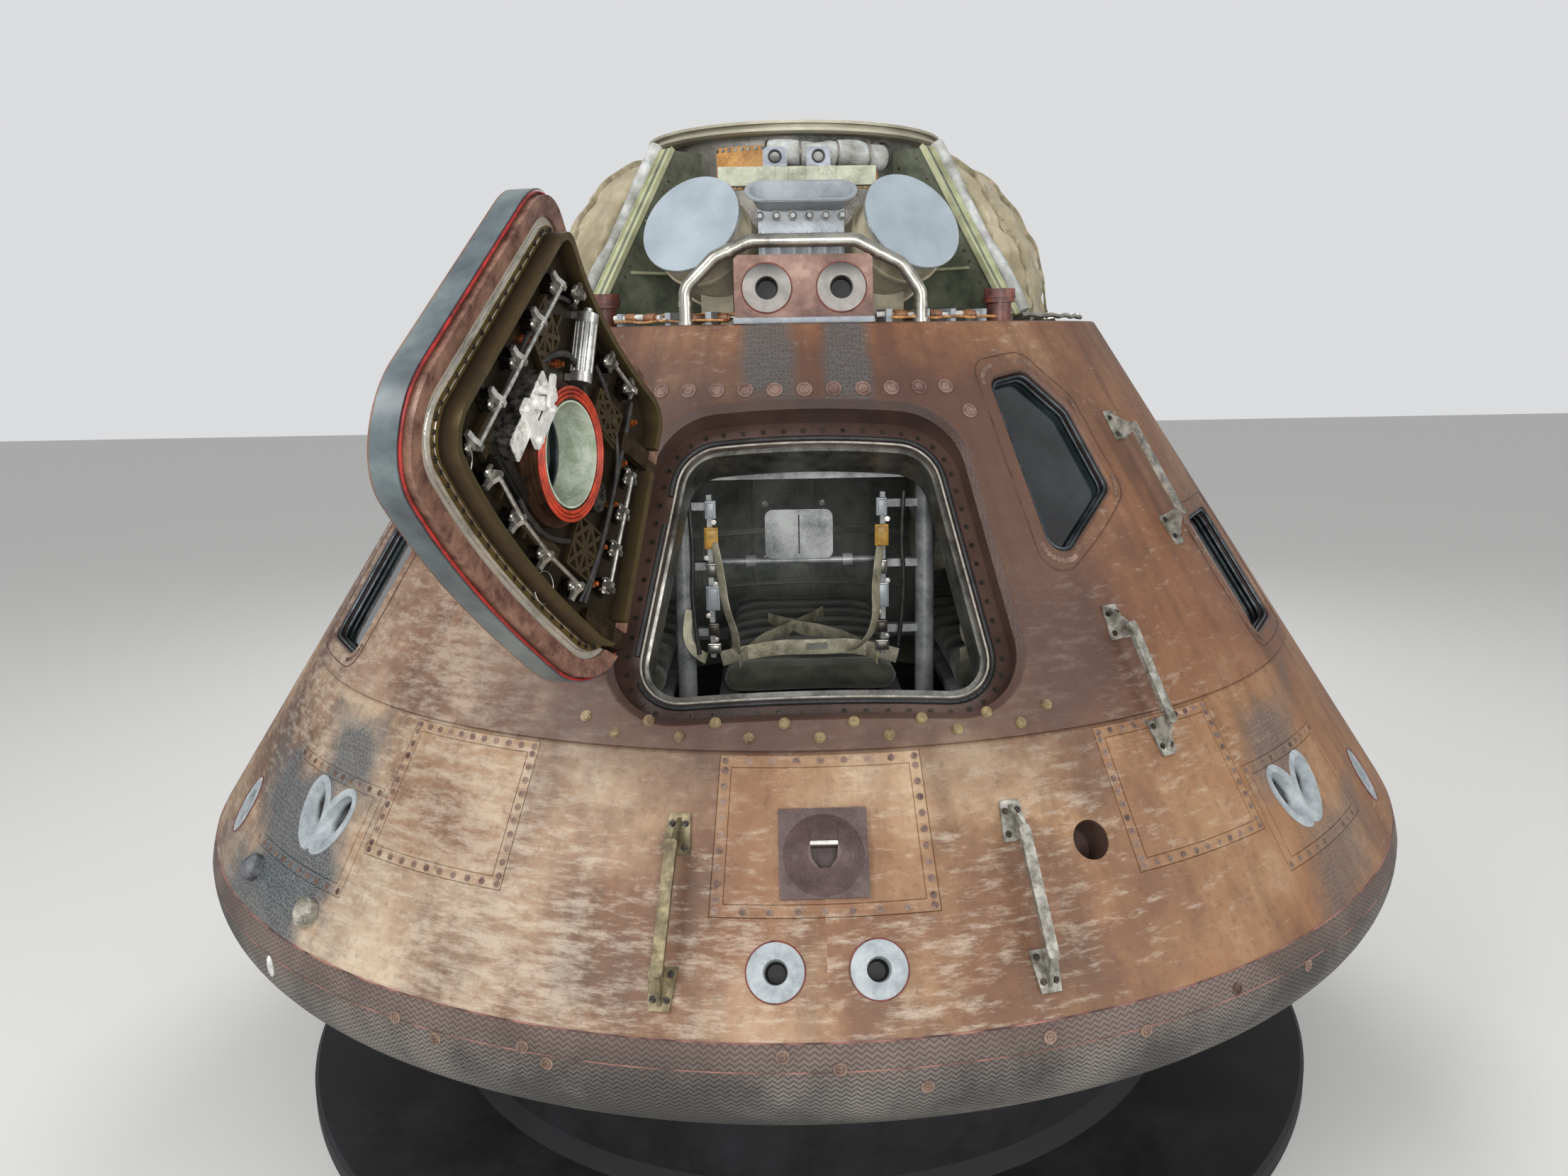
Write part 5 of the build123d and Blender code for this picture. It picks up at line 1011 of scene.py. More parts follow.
rivet = turned_disc([(0.0062, 0.0012), (0.0018, 0.0022), (0.0018, 0.0008)], 10)
repeat(rivet, [round_tunnel(az, rim_height + rise, 0.0035) for rise in (0.414, 0.522)
               for az in [-34.5 + 2.9 * k for k in range(10)] + [10.5 + 2.9 * k for k in range(9)]],
       "tunnel_rivets", rivet_steel)
bolt = turned_disc([(0.0085, 0.0045), (0.0025, 0), (0.0015, -0.002)], 12)
repeat(bolt, [Matrix.Translation(spot) for spot in ring_points(0.432, lift + 2.700, 36)], "ring_bolts",
       rivet_steel)
wear(node["forward_bulkhead"], worn_finish("primed_bulkhead", "#3e3c34", "#76735f", 0.55, 0.3, patch_mm=120))

# Gussets: riveted grey-green webs with pale yellow-green channels along the sloping edge. The web
# is the part of the node within 7 mm of its own middle plane.
gusset_primer, tree, shader = new_finish("zinc_chromate_gusset", "#5d6353", 0.5)
place = add_node(tree, "TexCoord").outputs["Object"]
part = add_node(tree, "SeparateXYZ", {0: place})
wide = add_node(tree, "Math", {0: part.outputs[0]}, operation="ABSOLUTE")
deep = add_node(tree, "Math", {0: part.outputs[1]}, operation="ABSOLUTE")
off = add_node(tree, "Math", {0: wide, 1: deep}, operation="SUBTRACT")
apart = add_node(tree, "Math", {0: off}, operation="ABSOLUTE")
flange = add_node(tree, "MapRange", {"Value": apart, "From Min": 0.0092, "From Max": 0.0096})
smudge = add_node(tree, "TexNoise", {"Vector": place, "Scale": 9.0, "Detail": 9.0, "Roughness": 0.66})
web_tone = add_node(tree, "ValToRGB", {0: smudge}, stops=[(0.36, "#474c3f"), (0.64, "#777d68")])
edge_tone = add_node(tree, "ValToRGB", {0: smudge},
                     stops=[(0.34, "#85866a"), (0.64, "#bec09c"), (0.48, "#a5a784")])
tone = add_node(tree, "Mix", {"Factor": flange, 6: web_tone, 7: edge_tone}, data_type="RGBA")
bump = add_node(tree, "Bump", {"Height": smudge, "Strength": 0.1, "Distance": 0.001})
set_inputs(tree, shader, {"Base Color": tone, "Normal": bump})
wear(node["gussets"], gusset_primer)
rim_r = cone_r(rim_height)
gusset_low, gusset_high = Vector((rim_r - 0.115, 0.018)), Vector((tunnel_r + 0.123, 0.522))
rivet_places = []
for az in (45, 135, 225, 315):
    for side in (-1, 1):
        spots = [gusset_low.lerp(gusset_high, (k + 0.5) / 16) - Vector((0.040, 0.012)) for k in range(16)]
        spots += [Vector((tunnel_r + 0.026, 0.030 + 0.044 * k)) for k in range(11)]
        spots += [Vector((tunnel_r + 0.060 + 0.042 * k, 0.026)) for k in range(7)]
        for radius, rise in spots:
            base = round_tunnel(az, rim_height + rise, 0.0, radius) @ Matrix.Rotation(side * pi / 2, 4, "Y")
            rivet_places.append(base @ Matrix.Translation((0, 0, 0.0060)))
rivet = turned_disc([(0.0052, 0.0010), (0.0015, 0.0018), (0.0015, 0.0006)], 8)
repeat(rivet, rivet_places, "gusset_rivets", rivet_steel)
for az in (45, 135, 225, 315):
    for rise, wide in ((0.16, 0.25), (0.31, 0.19)):
        rib = block((0.030, 0.009, wide), bevel=0.002)
        rib.data.transform(round_tunnel(az, rim_height + rise, 0.045 + wide / 2))
        settle(rib, f"gusset_stiffener_{az}_{round(rise * 100)}", gusset_primer)

# Mortar cans: spun alloy drums under flat painted lids. The lids are pale blue-grey with faint
# stains, the drums are wrapped in beige coated cloth, with a thin hoop under each lid.
can_paint, tree, shader = new_finish("pale_blue_grey_enamel", "#a9b5bd", 0.42)
place = add_node(tree, "TexCoord").outputs["Object"]
part = add_node(tree, "SeparateXYZ", {0: place})
wide = add_node(tree, "Math", {0: part.outputs[0]}, operation="ABSOLUTE")
mirrored = add_node(tree, "CombineXYZ", {0: wide, 1: part.outputs[1], 2: part.outputs[2]})
lid_out = Vector((0.41, -0.77, 0.48)).normalized()
lid_at = Vector((0.305, -(rim_r - 0.2034), deck + 0.274))
from_lid = add_node(tree, "VectorMath", {0: mirrored, 1: tuple(lid_at)}, operation="SUBTRACT")
deep = add_node(tree, "VectorMath", {0: from_lid, 1: tuple(lid_out)}, operation="DOT_PRODUCT")
under = add_node(tree, "MapRange", {"Value": deep, "From Min": -0.0135, "From Max": -0.0145})
blush = add_node(tree, "TexNoise", {"Vector": place, "Scale": 7.0, "Detail": 8.0, "Roughness": 0.6})
lid_tone = add_node(tree, "ValToRGB", {0: blush},
                    stops=[(0.34, "#8b969d"), (0.66, "#a1acb3"), (0.5, "#96a1a8")])
cloth_tone = add_node(tree, "ValToRGB", {0: blush},
                      stops=[(0.36, "#7b7462"), (0.64, "#b7ae96"), (0.5, "#989079")])
tone = add_node(tree, "Mix", {"Factor": under, 6: lid_tone, 7: cloth_tone}, data_type="RGBA")
dull = add_node(tree, "MapRange", {"Value": under, "To Min": 0.38, "To Max": 0.7})
bump = add_node(tree, "Bump", {"Height": blush, "Strength": 0.12, "Distance": 0.002})
set_inputs(tree, shader, {"Base Color": tone, "Roughness": dull, "Normal": bump})
wear(node["mortar_cans"], can_paint)
for side in (-1, 1):
    out = Vector((side * lid_out.x, lid_out.y, lid_out.z))
    centre = Vector((side * lid_at.x, lid_at.y, lid_at.z))
    place = Matrix.Translation(centre - out * 0.006) @ out.to_track_quat("Z", "Y").to_matrix().to_4x4()
    settle(hoop(place, 0.1455, 0.0032, 72), f"lid_hoop_{side + 2}", rivet_steel, smooth=80)

# Cast riser fitting, its trough and the sight brackets: grey enamelled castings. The cross
# channel over them is pale yellow-green primer.
grey_casting = worn_finish("grey_enamelled_casting", "#7d8388", "#a2a8ab", 0.42, 0.15, grain_mm=4,
                           patch_mm=150)
wear(node["riser_fitting"], grey_casting)
bolt = turned_disc([(0.0112, 0.0090), (0.0030, 0), (0.0015, -0.0030)], 12)
repeat(bolt, [Matrix.Translation((-0.002 + (k - 2.5) * 0.045, -(rim_r - 0.2414) - 0.046, deck + 0.290))
              @ Matrix.Rotation(pi / 2, 4, "X") for k in range(6)], "casting_bolts", dark_bolt)
wear(node["sight_brackets"],
     worn_finish("slate_enamelled_bracket", "#6d737c", "#9aa0a8", 0.45, grain_mm=4, patch_mm=60))
pale_primer = worn_finish("pale_zinc_chromate", "#8b8d78", "#bfc2ab", 0.48, grain_mm=5, patch_mm=90)
wear(node["cross_channel"], pale_primer)
for rank, x in enumerate((-0.070, 0.054)):
    place = Matrix.Translation((x, 0.3709 - rim_r, deck + 0.4693)) @ Matrix.Rotation(pi / 2, 4, "X")
    settle(hoop(place, 0.0165, 0.0028, 32), f"sight_ring_{rank}", black_rubber, smooth=80)

# Bent rail: satin stainless tube, welded collars at its bends, on two clamped feet.
rail_steel = worn_finish("satin_stainless_tube", "#6f6d66", "#c2bfb4", 0.3, 0.9, grain_mm=2, patch_mm=120)
wear(node["tube_rail"], rail_steel)
rail_y = -(rim_r - 0.0834)
collar_rows = [(-0.318, 0.055, 90), (-0.199, 0.190, 28), (0.200, 0.183, -27), (0.312, 0.045, 90)]
for rank, (x, rise, lean) in enumerate(collar_rows):
    bpy.ops.mesh.primitive_cylinder_add(vertices=32, radius=0.0200, depth=0.014,
                                        location=(x, rail_y, deck + rise),
                                        rotation=(0, radians(90 - lean), 0))
    collar = bpy.context.object
    pick(collar, "FACE", lambda face: abs(face.normal.z) > 0.9)
    bpy.ops.mesh.inset(thickness=0.003)
    bpy.ops.mesh.bevel(offset=0.001, segments=1)
    settle(collar, f"rail_collar_{rank}", rail_steel)

# Upper thruster block: the same brown resin as the skin, painted over and worn pale in patches,
# with rings like the lower ones.
block_paint, tree, shader = new_finish("painted_resin_block", "#7a4c3c", 0.5)
place = add_node(tree, "TexCoord").outputs["Object"]
rub = add_node(tree, "TexNoise", {"Vector": place, "Scale": 9.0, "Detail": 10.0, "Roughness": 0.66})
tone = add_node(tree, "ValToRGB", {0: rub},
                stops=[(0.34, "#4a332b"), (0.66, "#a08474"), (0.46, "#6e5044"), (0.56, "#856659")])
fine = add_node(tree, "TexNoise", {"Vector": place, "Scale": 70.0, "Detail": 4.0})
bump = add_node(tree, "Bump", {"Height": fine, "Strength": 0.15, "Distance": 0.001})
set_inputs(tree, shader, {"Base Color": tone, "Normal": bump})
wear(node["thruster_block"], block_paint)
upper_silica, tree, shader = new_finish("fired_silica_ring_upper", "#8d8c88", 0.55)
place = add_node(tree, "TexCoord").outputs["Object"]
part = add_node(tree, "SeparateXYZ", {0: place})
stain = add_node(tree, "TexNoise", {"Vector": place, "Scale": 24.0, "Detail": 8.0, "Roughness": 0.66})
ring_tone = add_node(tree, "ValToRGB", {0: stain}, stops=[(0.34, "#7b7771"), (0.64, "#99958e")])
# the rings' faces lean back by 10 degrees, so their depth is read along that slope
ring_y, ring_z, ring_lean = -(rim_r - 0.0374), deck + 0.092, 0.176
back_y = add_node(tree, "Math", {0: part.outputs[2], 1: ring_lean, 2: part.outputs[1]},
                  operation="MULTIPLY_ADD")
front_y = ring_y + ring_lean * ring_z
black_deeper_in = add_node(tree, "MapRange",
                 {"Value": back_y, "From Min": front_y + 0.004, "From Max": front_y + 0.020, "To Max": 0.97})
tone = add_node(tree, "Mix", {"Factor": black_deeper_in, 6: ring_tone, 7: linear("#0c0b0b")}, data_type="RGBA")
set_inputs(tree, shader, {"Base Color": tone})
wear(node["upper_nozzle_rings"], upper_silica)
tipped = Matrix.Rotation(radians(80.0), 4, "X")
for rank, x in enumerate((-0.100, 0.097)):
    settle(hoop(Matrix.Translation((x, ring_y, ring_z)) @ tipped, 0.0655, 0.0022, 56),
           f"upper_ring_bead_{rank}", red_bead, smooth=80)
# foot flange of the block, a strip that is screwed to the rim
settle(block((0.372, 0.008, 0.016), (-0.003, -(rim_r - 0.0175), deck + 0.008), bevel=0.002),
       "block_foot_strip", grey_casting)

# Capped cups by the gussets: turned resin, red-brown and darker where it is stained.
wear(node["rim_cups"], worn_finish("red_brown_cap", "#33201c", "#7a4438", 0.42, grain_mm=4, patch_mm=40))

# Pipes round the rim: white and silver lines with brown couplings, clamped to the deck in front
# of the cans, and thin wires beside them.
white_pipe = worn_finish("white_lagged_pipe", "#a9a79f", "#dddbd2", 0.5, grain_mm=4, patch_mm=40)
brown_coupling = worn_finish("brown_phenolic_coupling", "#4b2c1c", "#9a6a45", 0.45, grain_mm=3, patch_mm=30)
thin_wire = worn_finish("tan_insulated_wire", "#5c3b20", "#c08b55", 0.5, grain_mm=3, patch_mm=20)


def rim_spot(az, inwards, rise):
    """Point above the deck, inwards from the rim."""
    return Vector(((rim_r - inwards) * sin(radians(az)), -(rim_r - inwards) * cos(radians(az)),
                   deck + rise))


pipe_rows = [
    (-34, -24.5, 0.050, 0.022, 0.0085, white_pipe), (-34, -12, 0.100, 0.018, 0.0060, rail_steel),
    (-28, -11.5, 0.140, 0.030, 0.0045, thin_wire), (12, 33, 0.058, 0.020, 0.0075, white_pipe),
    (11.5, 34, 0.105, 0.018, 0.0060, rail_steel), (14, 34, 0.030, 0.012, 0.0040, thin_wire),
    (-33, -13, 0.030, 0.011, 0.0038, thin_wire), (24, 35, 0.150, 0.034, 0.0050, cable_sleeve),
    (-80, -42, 0.045, 0.016, 0.0070, rail_steel), (42, 80, 0.045, 0.016, 0.0070, rail_steel),
    (100, 130, 0.045, 0.016, 0.0070, rail_steel), (-130, -100, 0.045, 0.016, 0.0070, rail_steel),
    (140, 220, 0.045, 0.016, 0.0070, white_pipe),
]
for rank, (az_low, az_high, inwards, rise, radius, finish) in enumerate(pipe_rows):
    count = max(6, round((az_high - az_low) / 2.5))
    spots = [rim_spot(az_low + (az_high - az_low) * k / count, inwards + 0.006 * sin(3.1 * k + rank),
                      rise + 0.004 * sin(2.3 * k + 2 * rank) * (0 < k < count)) for k in range(count + 1)]
    settle(run_tube(spots, radius), f"rim_pipe_{rank}", finish, smooth=80)
sleeve_rows = [(-30.5, 0.052, 0.022), (-26.5, 0.050, 0.022), (-19.0, 0.100, 0.018), (-14.5, 0.100, 0.018),
               (16.0, 0.058, 0.020), (22.5, 0.060, 0.020), (29.5, 0.058, 0.020), (19.0, 0.105, 0.018),
               (27.0, 0.105, 0.018)]
bpy.ops.mesh.primitive_cylinder_add(vertices=16, radius=0.0125, depth=0.030, rotation=(0, pi / 2, 0))
coupling = bpy.context.object
bpy.ops.object.transform_apply(rotation=True)
pick(coupling, "FACE", lambda face: abs(face.normal.x) > 0.9)
bpy.ops.mesh.inset(thickness=0.003)
bpy.ops.mesh.extrude_faces_move(TRANSFORM_OT_shrink_fatten={"value": 0.007})
repeat(coupling, [Matrix.Translation(rim_spot(az, inwards, rise)) @ Matrix.Rotation(radians(az), 4, "Z")
                  for az, inwards, rise in sleeve_rows], "pipe_couplings", brown_coupling)
clamp = block((0.016, 0.080, 0.034), (0, 0, 0.017))
step_face(clamp, [(0.004, -0.012)])
repeat(clamp, [Matrix.Translation(rim_spot(az, 0.078, 0.0)) @ Matrix.Rotation(radians(az), 4, "Z")
               for az in (-32.5, -23.0, -15.8, 13.8, 20.5, 25.5, 32.0)], "pipe_clamps", grey_casting)

# Quilted packs in the side and rear bays: beige coated cloth over insulation, sewn in panels and
# pulled down at the seams by its own lacing. Each is inflated from the space of its CAD solid.
quilt_cloth, tree, shader = new_finish("beige_coated_cloth", "#a89c7f", 0.78, Sheen_Weight=0.25)
place = add_node(tree, "TexCoord").outputs["Object"]
part = add_node(tree, "SeparateXYZ", {0: place})
turn = add_node(tree, "Math", {0: part.outputs[0], 1: part.outputs[1]}, operation="ARCTAN2")
age = add_node(tree, "TexNoise", {"Vector": place, "Scale": 4.5, "Detail": 9.0, "Roughness": 0.66})
cloth_tone = add_node(tree, "ValToRGB", {0: age},
                      stops=[(0.32, "#6f6650"), (0.68, "#c9c0a6"), (0.46, "#988d70"), (0.56, "#b3a88b")])
# sewn panels 120 mm wide, each dyed a little differently
cell_u = add_node(tree, "Math", {0: turn, 1: 6.5}, operation="MULTIPLY")
cell_v = add_node(tree, "Math", {0: part.outputs[2], 1: 7.5}, operation="MULTIPLY")
cell_at = add_node(tree, "CombineXYZ", {0: cell_u, 1: cell_v})
panels = add_node(tree, "TexVoronoi", {"Vector": cell_at, "Scale": 1.0, "Randomness": 0.25},
                  voronoi_dimensions="2D", distance="CHEBYCHEV")
panel_tone = add_node(tree, "SeparateColor", {0: panels.outputs["Color"]})
dye = add_node(tree, "MapRange", {"Value": panel_tone.outputs[0], "To Max": 0.5})
dyed = add_node(tree, "Mix", {"Factor": dye, 6: cloth_tone, 7: linear("#857a5e")}, data_type="RGBA")
# weave drawn at 4 mm, coarser than the real one, so that it shows
weave = add_node(tree, "TexVoronoi", {"Vector": place, "Scale": 250.0}, feature="F1")
folds = add_node(tree, "TexNoise",
                 {"Vector": place, "Scale": 16.0, "Detail": 6.0, "Roughness": 0.6, "Distortion": 0.6})
relief = add_node(tree, "Math", {0: weave, 1: 0.18, 2: folds}, operation="MULTIPLY_ADD")
bump = add_node(tree, "Bump", {"Height": relief, "Strength": 0.5, "Distance": 0.008})
set_inputs(tree, shader, {"Base Color": dyed, "Normal": bump})


def inflate(piece, voxel, pressure, cap, frames=20):
    """Remeshes a closed form evenly, fills it like a cushion with a cloth simulation and caps
    how far each point moves."""
    select_only(piece)
    apply_modifier(piece, "REMESH", mode="VOXEL", voxel_size=voxel)
    start = [v.co.copy() for v in piece.data.vertices]
    cloth = piece.modifiers.new("fill", "CLOTH")
    cloth.settings.quality = 4
    cloth.settings.mass = 0.3
    cloth.settings.use_pressure = True
    cloth.settings.uniform_pressure_force = pressure
    cloth.settings.effector_weights.gravity = 0.0
    cloth.settings.tension_stiffness = 8.0
    cloth.settings.compression_stiffness = 8.0
    cloth.settings.bending_stiffness = 0.3
    cloth.collision_settings.use_collision = False
    cloth.point_cache.frame_start, cloth.point_cache.frame_end = 1, frames
    for k in range(1, frames + 1):
        bpy.context.scene.frame_set(k)
    bpy.ops.object.modifier_apply(modifier=cloth.name)
    bpy.context.scene.frame_set(1)
    for v, was in zip(piece.data.vertices, start):
        gap = v.co - was
        if gap.length > cap:
            v.co = was + gap.normalized() * cap


def seam_pull(away, depth, reach, power=0.7):
    """How far a seam pulls the cloth in, at a distance from it."""
    return depth * max(0.0, 1 - away / reach) ** power


def flat_strap(points, name, material, half_thick, half_wide, twist="MINIMUM"):
    """Flat strap along points, from a curve that is drawn out to its width."""
    strap = run_tube(points, half_thick, sides=1)
    strap.data.extrude = half_wide
    strap.data.twist_mode = twist
    settle(strap, name, material, smooth=60)


lace = worn_finish("flat_nylon_lace", "#6d654f", "#a59b80", 0.7, grain_mm=3, patch_mm=40)
seam_az, seam_rise = (11.5, 23.0, 34.5, 46.0, 57.5, 69.0), (0.085, 0.185, 0.285, 0.385, 0.475)
pack_line = [
    (tunnel_r + 0.020, 0.006), (rim_r - 0.133, 0.006), (rim_r - 0.158, 0.052), (rim_r - 0.203, 0.204),
    (rim_r - 0.262, 0.322), (rim_r - 0.328, 0.412), (tunnel_r + 0.140, 0.498), (tunnel_r + 0.020, 0.518)]
for name, az_start in (("side_pack_right", 50), ("rear_pack", 140), ("side_pack_left", 230)):
    bpy.ops.mesh.primitive_circle_add(vertices=len(pack_line), radius=0.1, fill_type="NGON")
    pack = bpy.context.object
    for v, (radius, rise) in zip(pack.data.vertices, pack_line):
        v.co = round_tunnel(az_start + 1.6, rim_height + rise, 0.0, radius).translation
    pick(pack, "FACE", lambda face: True)
    bpy.ops.mesh.spin(steps=40, dupli=False, angle=radians(76.8), center=(0, 0, 0), axis=(0, 0, -1))
    bpy.ops.mesh.select_all(action="SELECT")
    bpy.ops.mesh.remove_doubles(threshold=0.0002)
    bpy.ops.mesh.normals_make_consistent(inside=False)
    bpy.ops.object.mode_set(mode="OBJECT")
    inflate(pack, 0.014, 5.0, 0.016)
    # seams: the cloth is pulled in along lines up the slope and round the cone
    for v in pack.data.vertices:
        az = degrees(atan2(v.co.x, -v.co.y)) % 360 - az_start
        rise = v.co.z - deck
        radius = v.co.xy.length
        near_up = min(abs(az - a) * radius * pi / 180 for a in seam_az)
        near_round = min(abs(rise - r) for r in seam_rise)
        pull = seam_pull(near_up, 0.013, 0.030) + seam_pull(near_round, 0.010, 0.026)
        puff = 0.006 * sin(az * 0.61 + rise * 17.0) + 0.004 * sin(az * 1.7 - rise * 31.0)
        if radius > tunnel_r + 0.05 and rise > 0.03:
            v.co.xy -= v.co.xy.normalized() * (pull - puff)
    apply_modifier(pack, "CORRECTIVE_SMOOTH", iterations=3)
    apply_modifier(pack, "SUBSURF", levels=1, render_levels=1)
    pack = settle(pack, name + "_cloth", quilt_cloth, smooth=180)
    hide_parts(name)
    wear(node[name], quilt_cloth)
    # flat lacing straps over the pack, down the slope
    for k, az in enumerate((8, 27, 46, 65)):
        spots = []
        for j in range(25):
            step = j // 4 + 1
            (radius, rise), (next_radius, next_rise) = pack_line[step], pack_line[min(step + 1, 7)]
            share = j % 4 / 4
            above = round_tunnel(az_start + az, rim_height + rise + (next_rise - rise) * share, 0.05,
                                 radius + (next_radius - radius) * share).translation
            spot, outwards = pack.closest_point_on_mesh(above)[1:3]
            spots.append(spot + outwards * 0.003)
        flat_strap(spots, f"{name}_lace_{k}", lace, 0.0022, 0.015, "TANGENT")

# Wrapped duct round the tunnel: a pipe in grey-white glass cloth, wound with tape and slack
# between its ties.
wrap_cloth, tree, shader = new_finish("grey_glass_cloth_wrap", "#a5a6a3", 0.75)
place = add_node(tree, "TexCoord").outputs["Object"]
age = add_node(tree, "TexNoise", {"Vector": place, "Scale": 14.0, "Detail": 8.0, "Roughness": 0.64})
tone = add_node(tree, "ValToRGB", {0: age}, stops=[(0.34, "#77786f"), (0.66, "#c6c8c6"), (0.5, "#a2a39e")])
crease = add_node(tree, "TexNoise", {"Vector": place, "Scale": 34.0, "Detail": 5.0, "Distortion": 1.2})
bump = add_node(tree, "Bump", {"Height": crease, "Strength": 0.5, "Distance": 0.005})
set_inputs(tree, shader, {"Base Color": tone, "Normal": bump})
duct_line, duct_rise = tunnel_r + 0.0413, 0.496
count = 34
duct_spots = [round_tunnel(-11.2 + 44.4 * k / count, rim_height + duct_rise + 0.005 * sin(k * 0.35), 0.002,
                           duct_line).translation for k in range(count + 1)]
duct = run_tube(duct_spots, 0.0375, sides=7)
for k, point in enumerate(duct.data.splines[0].points):
    point.radius = 1.0 + 0.03 * sin(k * 0.8) - 0.10 * (k in (0, 9, 19, 28, count)) + 0.015 * sin(k * 2.3)
duct = settle(duct, "wrapped_duct", wrap_cloth, smooth=180)
pick(duct, "VERT", lambda v: True)
bpy.ops.mesh.remove_doubles(threshold=0.0002)
bpy.ops.mesh.normals_make_consistent(inside=False)
bpy.ops.object.mode_set(mode="OBJECT")
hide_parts("lagged_duct")
wear(node["lagged_duct"], wrap_cloth)
tie_r = 0.0385
for rank, az in enumerate((-11.0, 0.6, 13.6, 25.4, 33.0)):
    ring = [round_tunnel(az, rim_height + duct_rise + tie_r * sin(2 * pi * k / 24),
                         0.002 + tie_r * cos(2 * pi * k / 24), duct_line).translation for k in range(24)]
    settle(run_tube(ring, 0.0028, cyclic=True), f"duct_tie_{rank}",
           rivet_steel if rank % 4 else black_rubber)
# lagged pipes that climb beside the front gussets
for side in (-1, 1):
    climb = []
    for t in [k / 10 for k in range(11)]:
        spot = gusset_low.lerp(gusset_high, t)
        climb.append(round_tunnel(side * (45 + 5.2 / (0.55 + spot.x)), rim_height + spot.y + 0.012, 0.0,
                                  spot.x + 0.006 + 0.006 * sin(9 * t)).translation)
    pipe = run_tube(climb, 0.021, sides=5)
    for k, point in enumerate(pipe.data.splines[0].points):
        point.radius = 1.0 + 0.10 * sin(k * 2.6) - 0.12 * (k % 4 == 0)
    settle(pipe, f"gusset_lagging_{side + 2}", wrap_cloth, smooth=180)

# Couch pads: dark olive webbing cushions, sewn in channels across, sagging between their frames,
# with pale harness straps and steel buckles lying over them.
couch_cloth, tree, shader = new_finish("olive_webbing_cushion", "#3a3a30", 0.8, Sheen_Weight=0.3)
place = add_node(tree, "TexCoord").outputs["Object"]
age = add_node(tree, "TexNoise", {"Vector": place, "Scale": 7.0, "Detail": 8.0, "Roughness": 0.64})
tone = add_node(tree, "ValToRGB", {0: age}, stops=[(0.36, "#26271f"), (0.66, "#5a5a48")])
ribs = add_node(tree, "TexWave", {"Vector": place, "Scale": 40.0, "Distortion": 0.6, "Detail": 2.0},
                bands_direction="Y")
bump = add_node(tree, "Bump", {"Height": ribs, "Strength": 0.3, "Distance": 0.003})
set_inputs(tree, shader, {"Base Color": tone, "Normal": bump})
pads_low, pads_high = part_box("couch_pads")
pads_mid = [(low + high) / 2 for low, high in zip(pads_low, pads_high)]
channel = 0.130
pads = []
for x in (-0.655, 0.0, 0.655):
    pad = block((0.510, pads_high[1] - pads_low[1] - 0.030, pads_high[2] - pads_low[2] - 0.022),
                (x, pads_mid[1], pads_mid[2]), bevel=0.030, segments=4)
    inflate(pad, 0.015, 4.0, 0.014, frames=16)
    for v in pad.data.vertices:
        near = min(abs((v.co.y - pads_low[1]) - k * channel) for k in range(1, 8))
        if v.co.z > pads_mid[2]:
            v.co.z -= seam_pull(near, 0.016, 0.030, 0.8)
    apply_modifier(pad, "SUBSURF", levels=1, render_levels=1)
    pads.append(pad)
select_only(*pads)
bpy.ops.object.join()
pads = settle(bpy.context.object, "couch_cushions", couch_cloth, smooth=180)
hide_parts("couch_pads")
wear(node["couch_pads"], couch_cloth)

harness_web = worn_finish("pale_harness_web", "#7f7a66", "#c4bea4", 0.7, grain_mm=3, patch_mm=60)
front, top = pads_low[1], pads_high[2]
# points of each strap: x, then how far behind the pads' front edge and over their top it lies
strap_rows = [
    [(-0.200, 0.050, 0.004), (-0.165, 0.220, 0.010), (-0.080, 0.360, 0.014), (-0.020, 0.480, 0.008),
     (0.060, 0.640, 0.010)],
    [(0.190, 0.050, 0.004), (0.150, 0.210, 0.012), (0.060, 0.330, 0.018), (-0.040, 0.420, 0.016),
     (-0.120, 0.560, 0.008)],
    [(-0.255, 0.130, -0.005), (-0.120, 0.150, 0.022), (0.020, 0.120, 0.026), (0.150, 0.150, 0.022),
     (0.255, 0.120, -0.005)],
    [(0.430, 0.060, 0.006), (0.520, 0.120, 0.022), (0.640, 0.140, 0.030), (0.780, 0.110, 0.020),
     (0.860, 0.160, 0.006)],
    [(-0.450, 0.060, 0.006), (-0.560, 0.130, 0.022), (-0.690, 0.120, 0.026), (-0.840, 0.180, 0.006)],
]
for rank, rows in enumerate(strap_rows):
    flat_strap([(x, front + behind, top + over) for x, behind, over in rows], f"harness_strap_{rank}",
               harness_web, 0.0016, 0.021, "Z_UP")
buckle = block((0.060, 0.044, 0.014), (0, 0, 0.007))
step_face(buckle, [(0.010, -0.008)])
buckle_rows = [(-0.030, 0.440, 0.012, 0.7), (0.020, 0.122, 0.026, 0.1), (0.650, 0.140, 0.031, 0.2),
               (-0.640, 0.122, 0.026, -0.3)]
repeat(buckle, [Matrix.Translation((x, front + behind, top + over)) @ Matrix.Rotation(angle, 4, "Z")
                for x, behind, over, angle in buckle_rows], "harness_buckles", bright_bead)

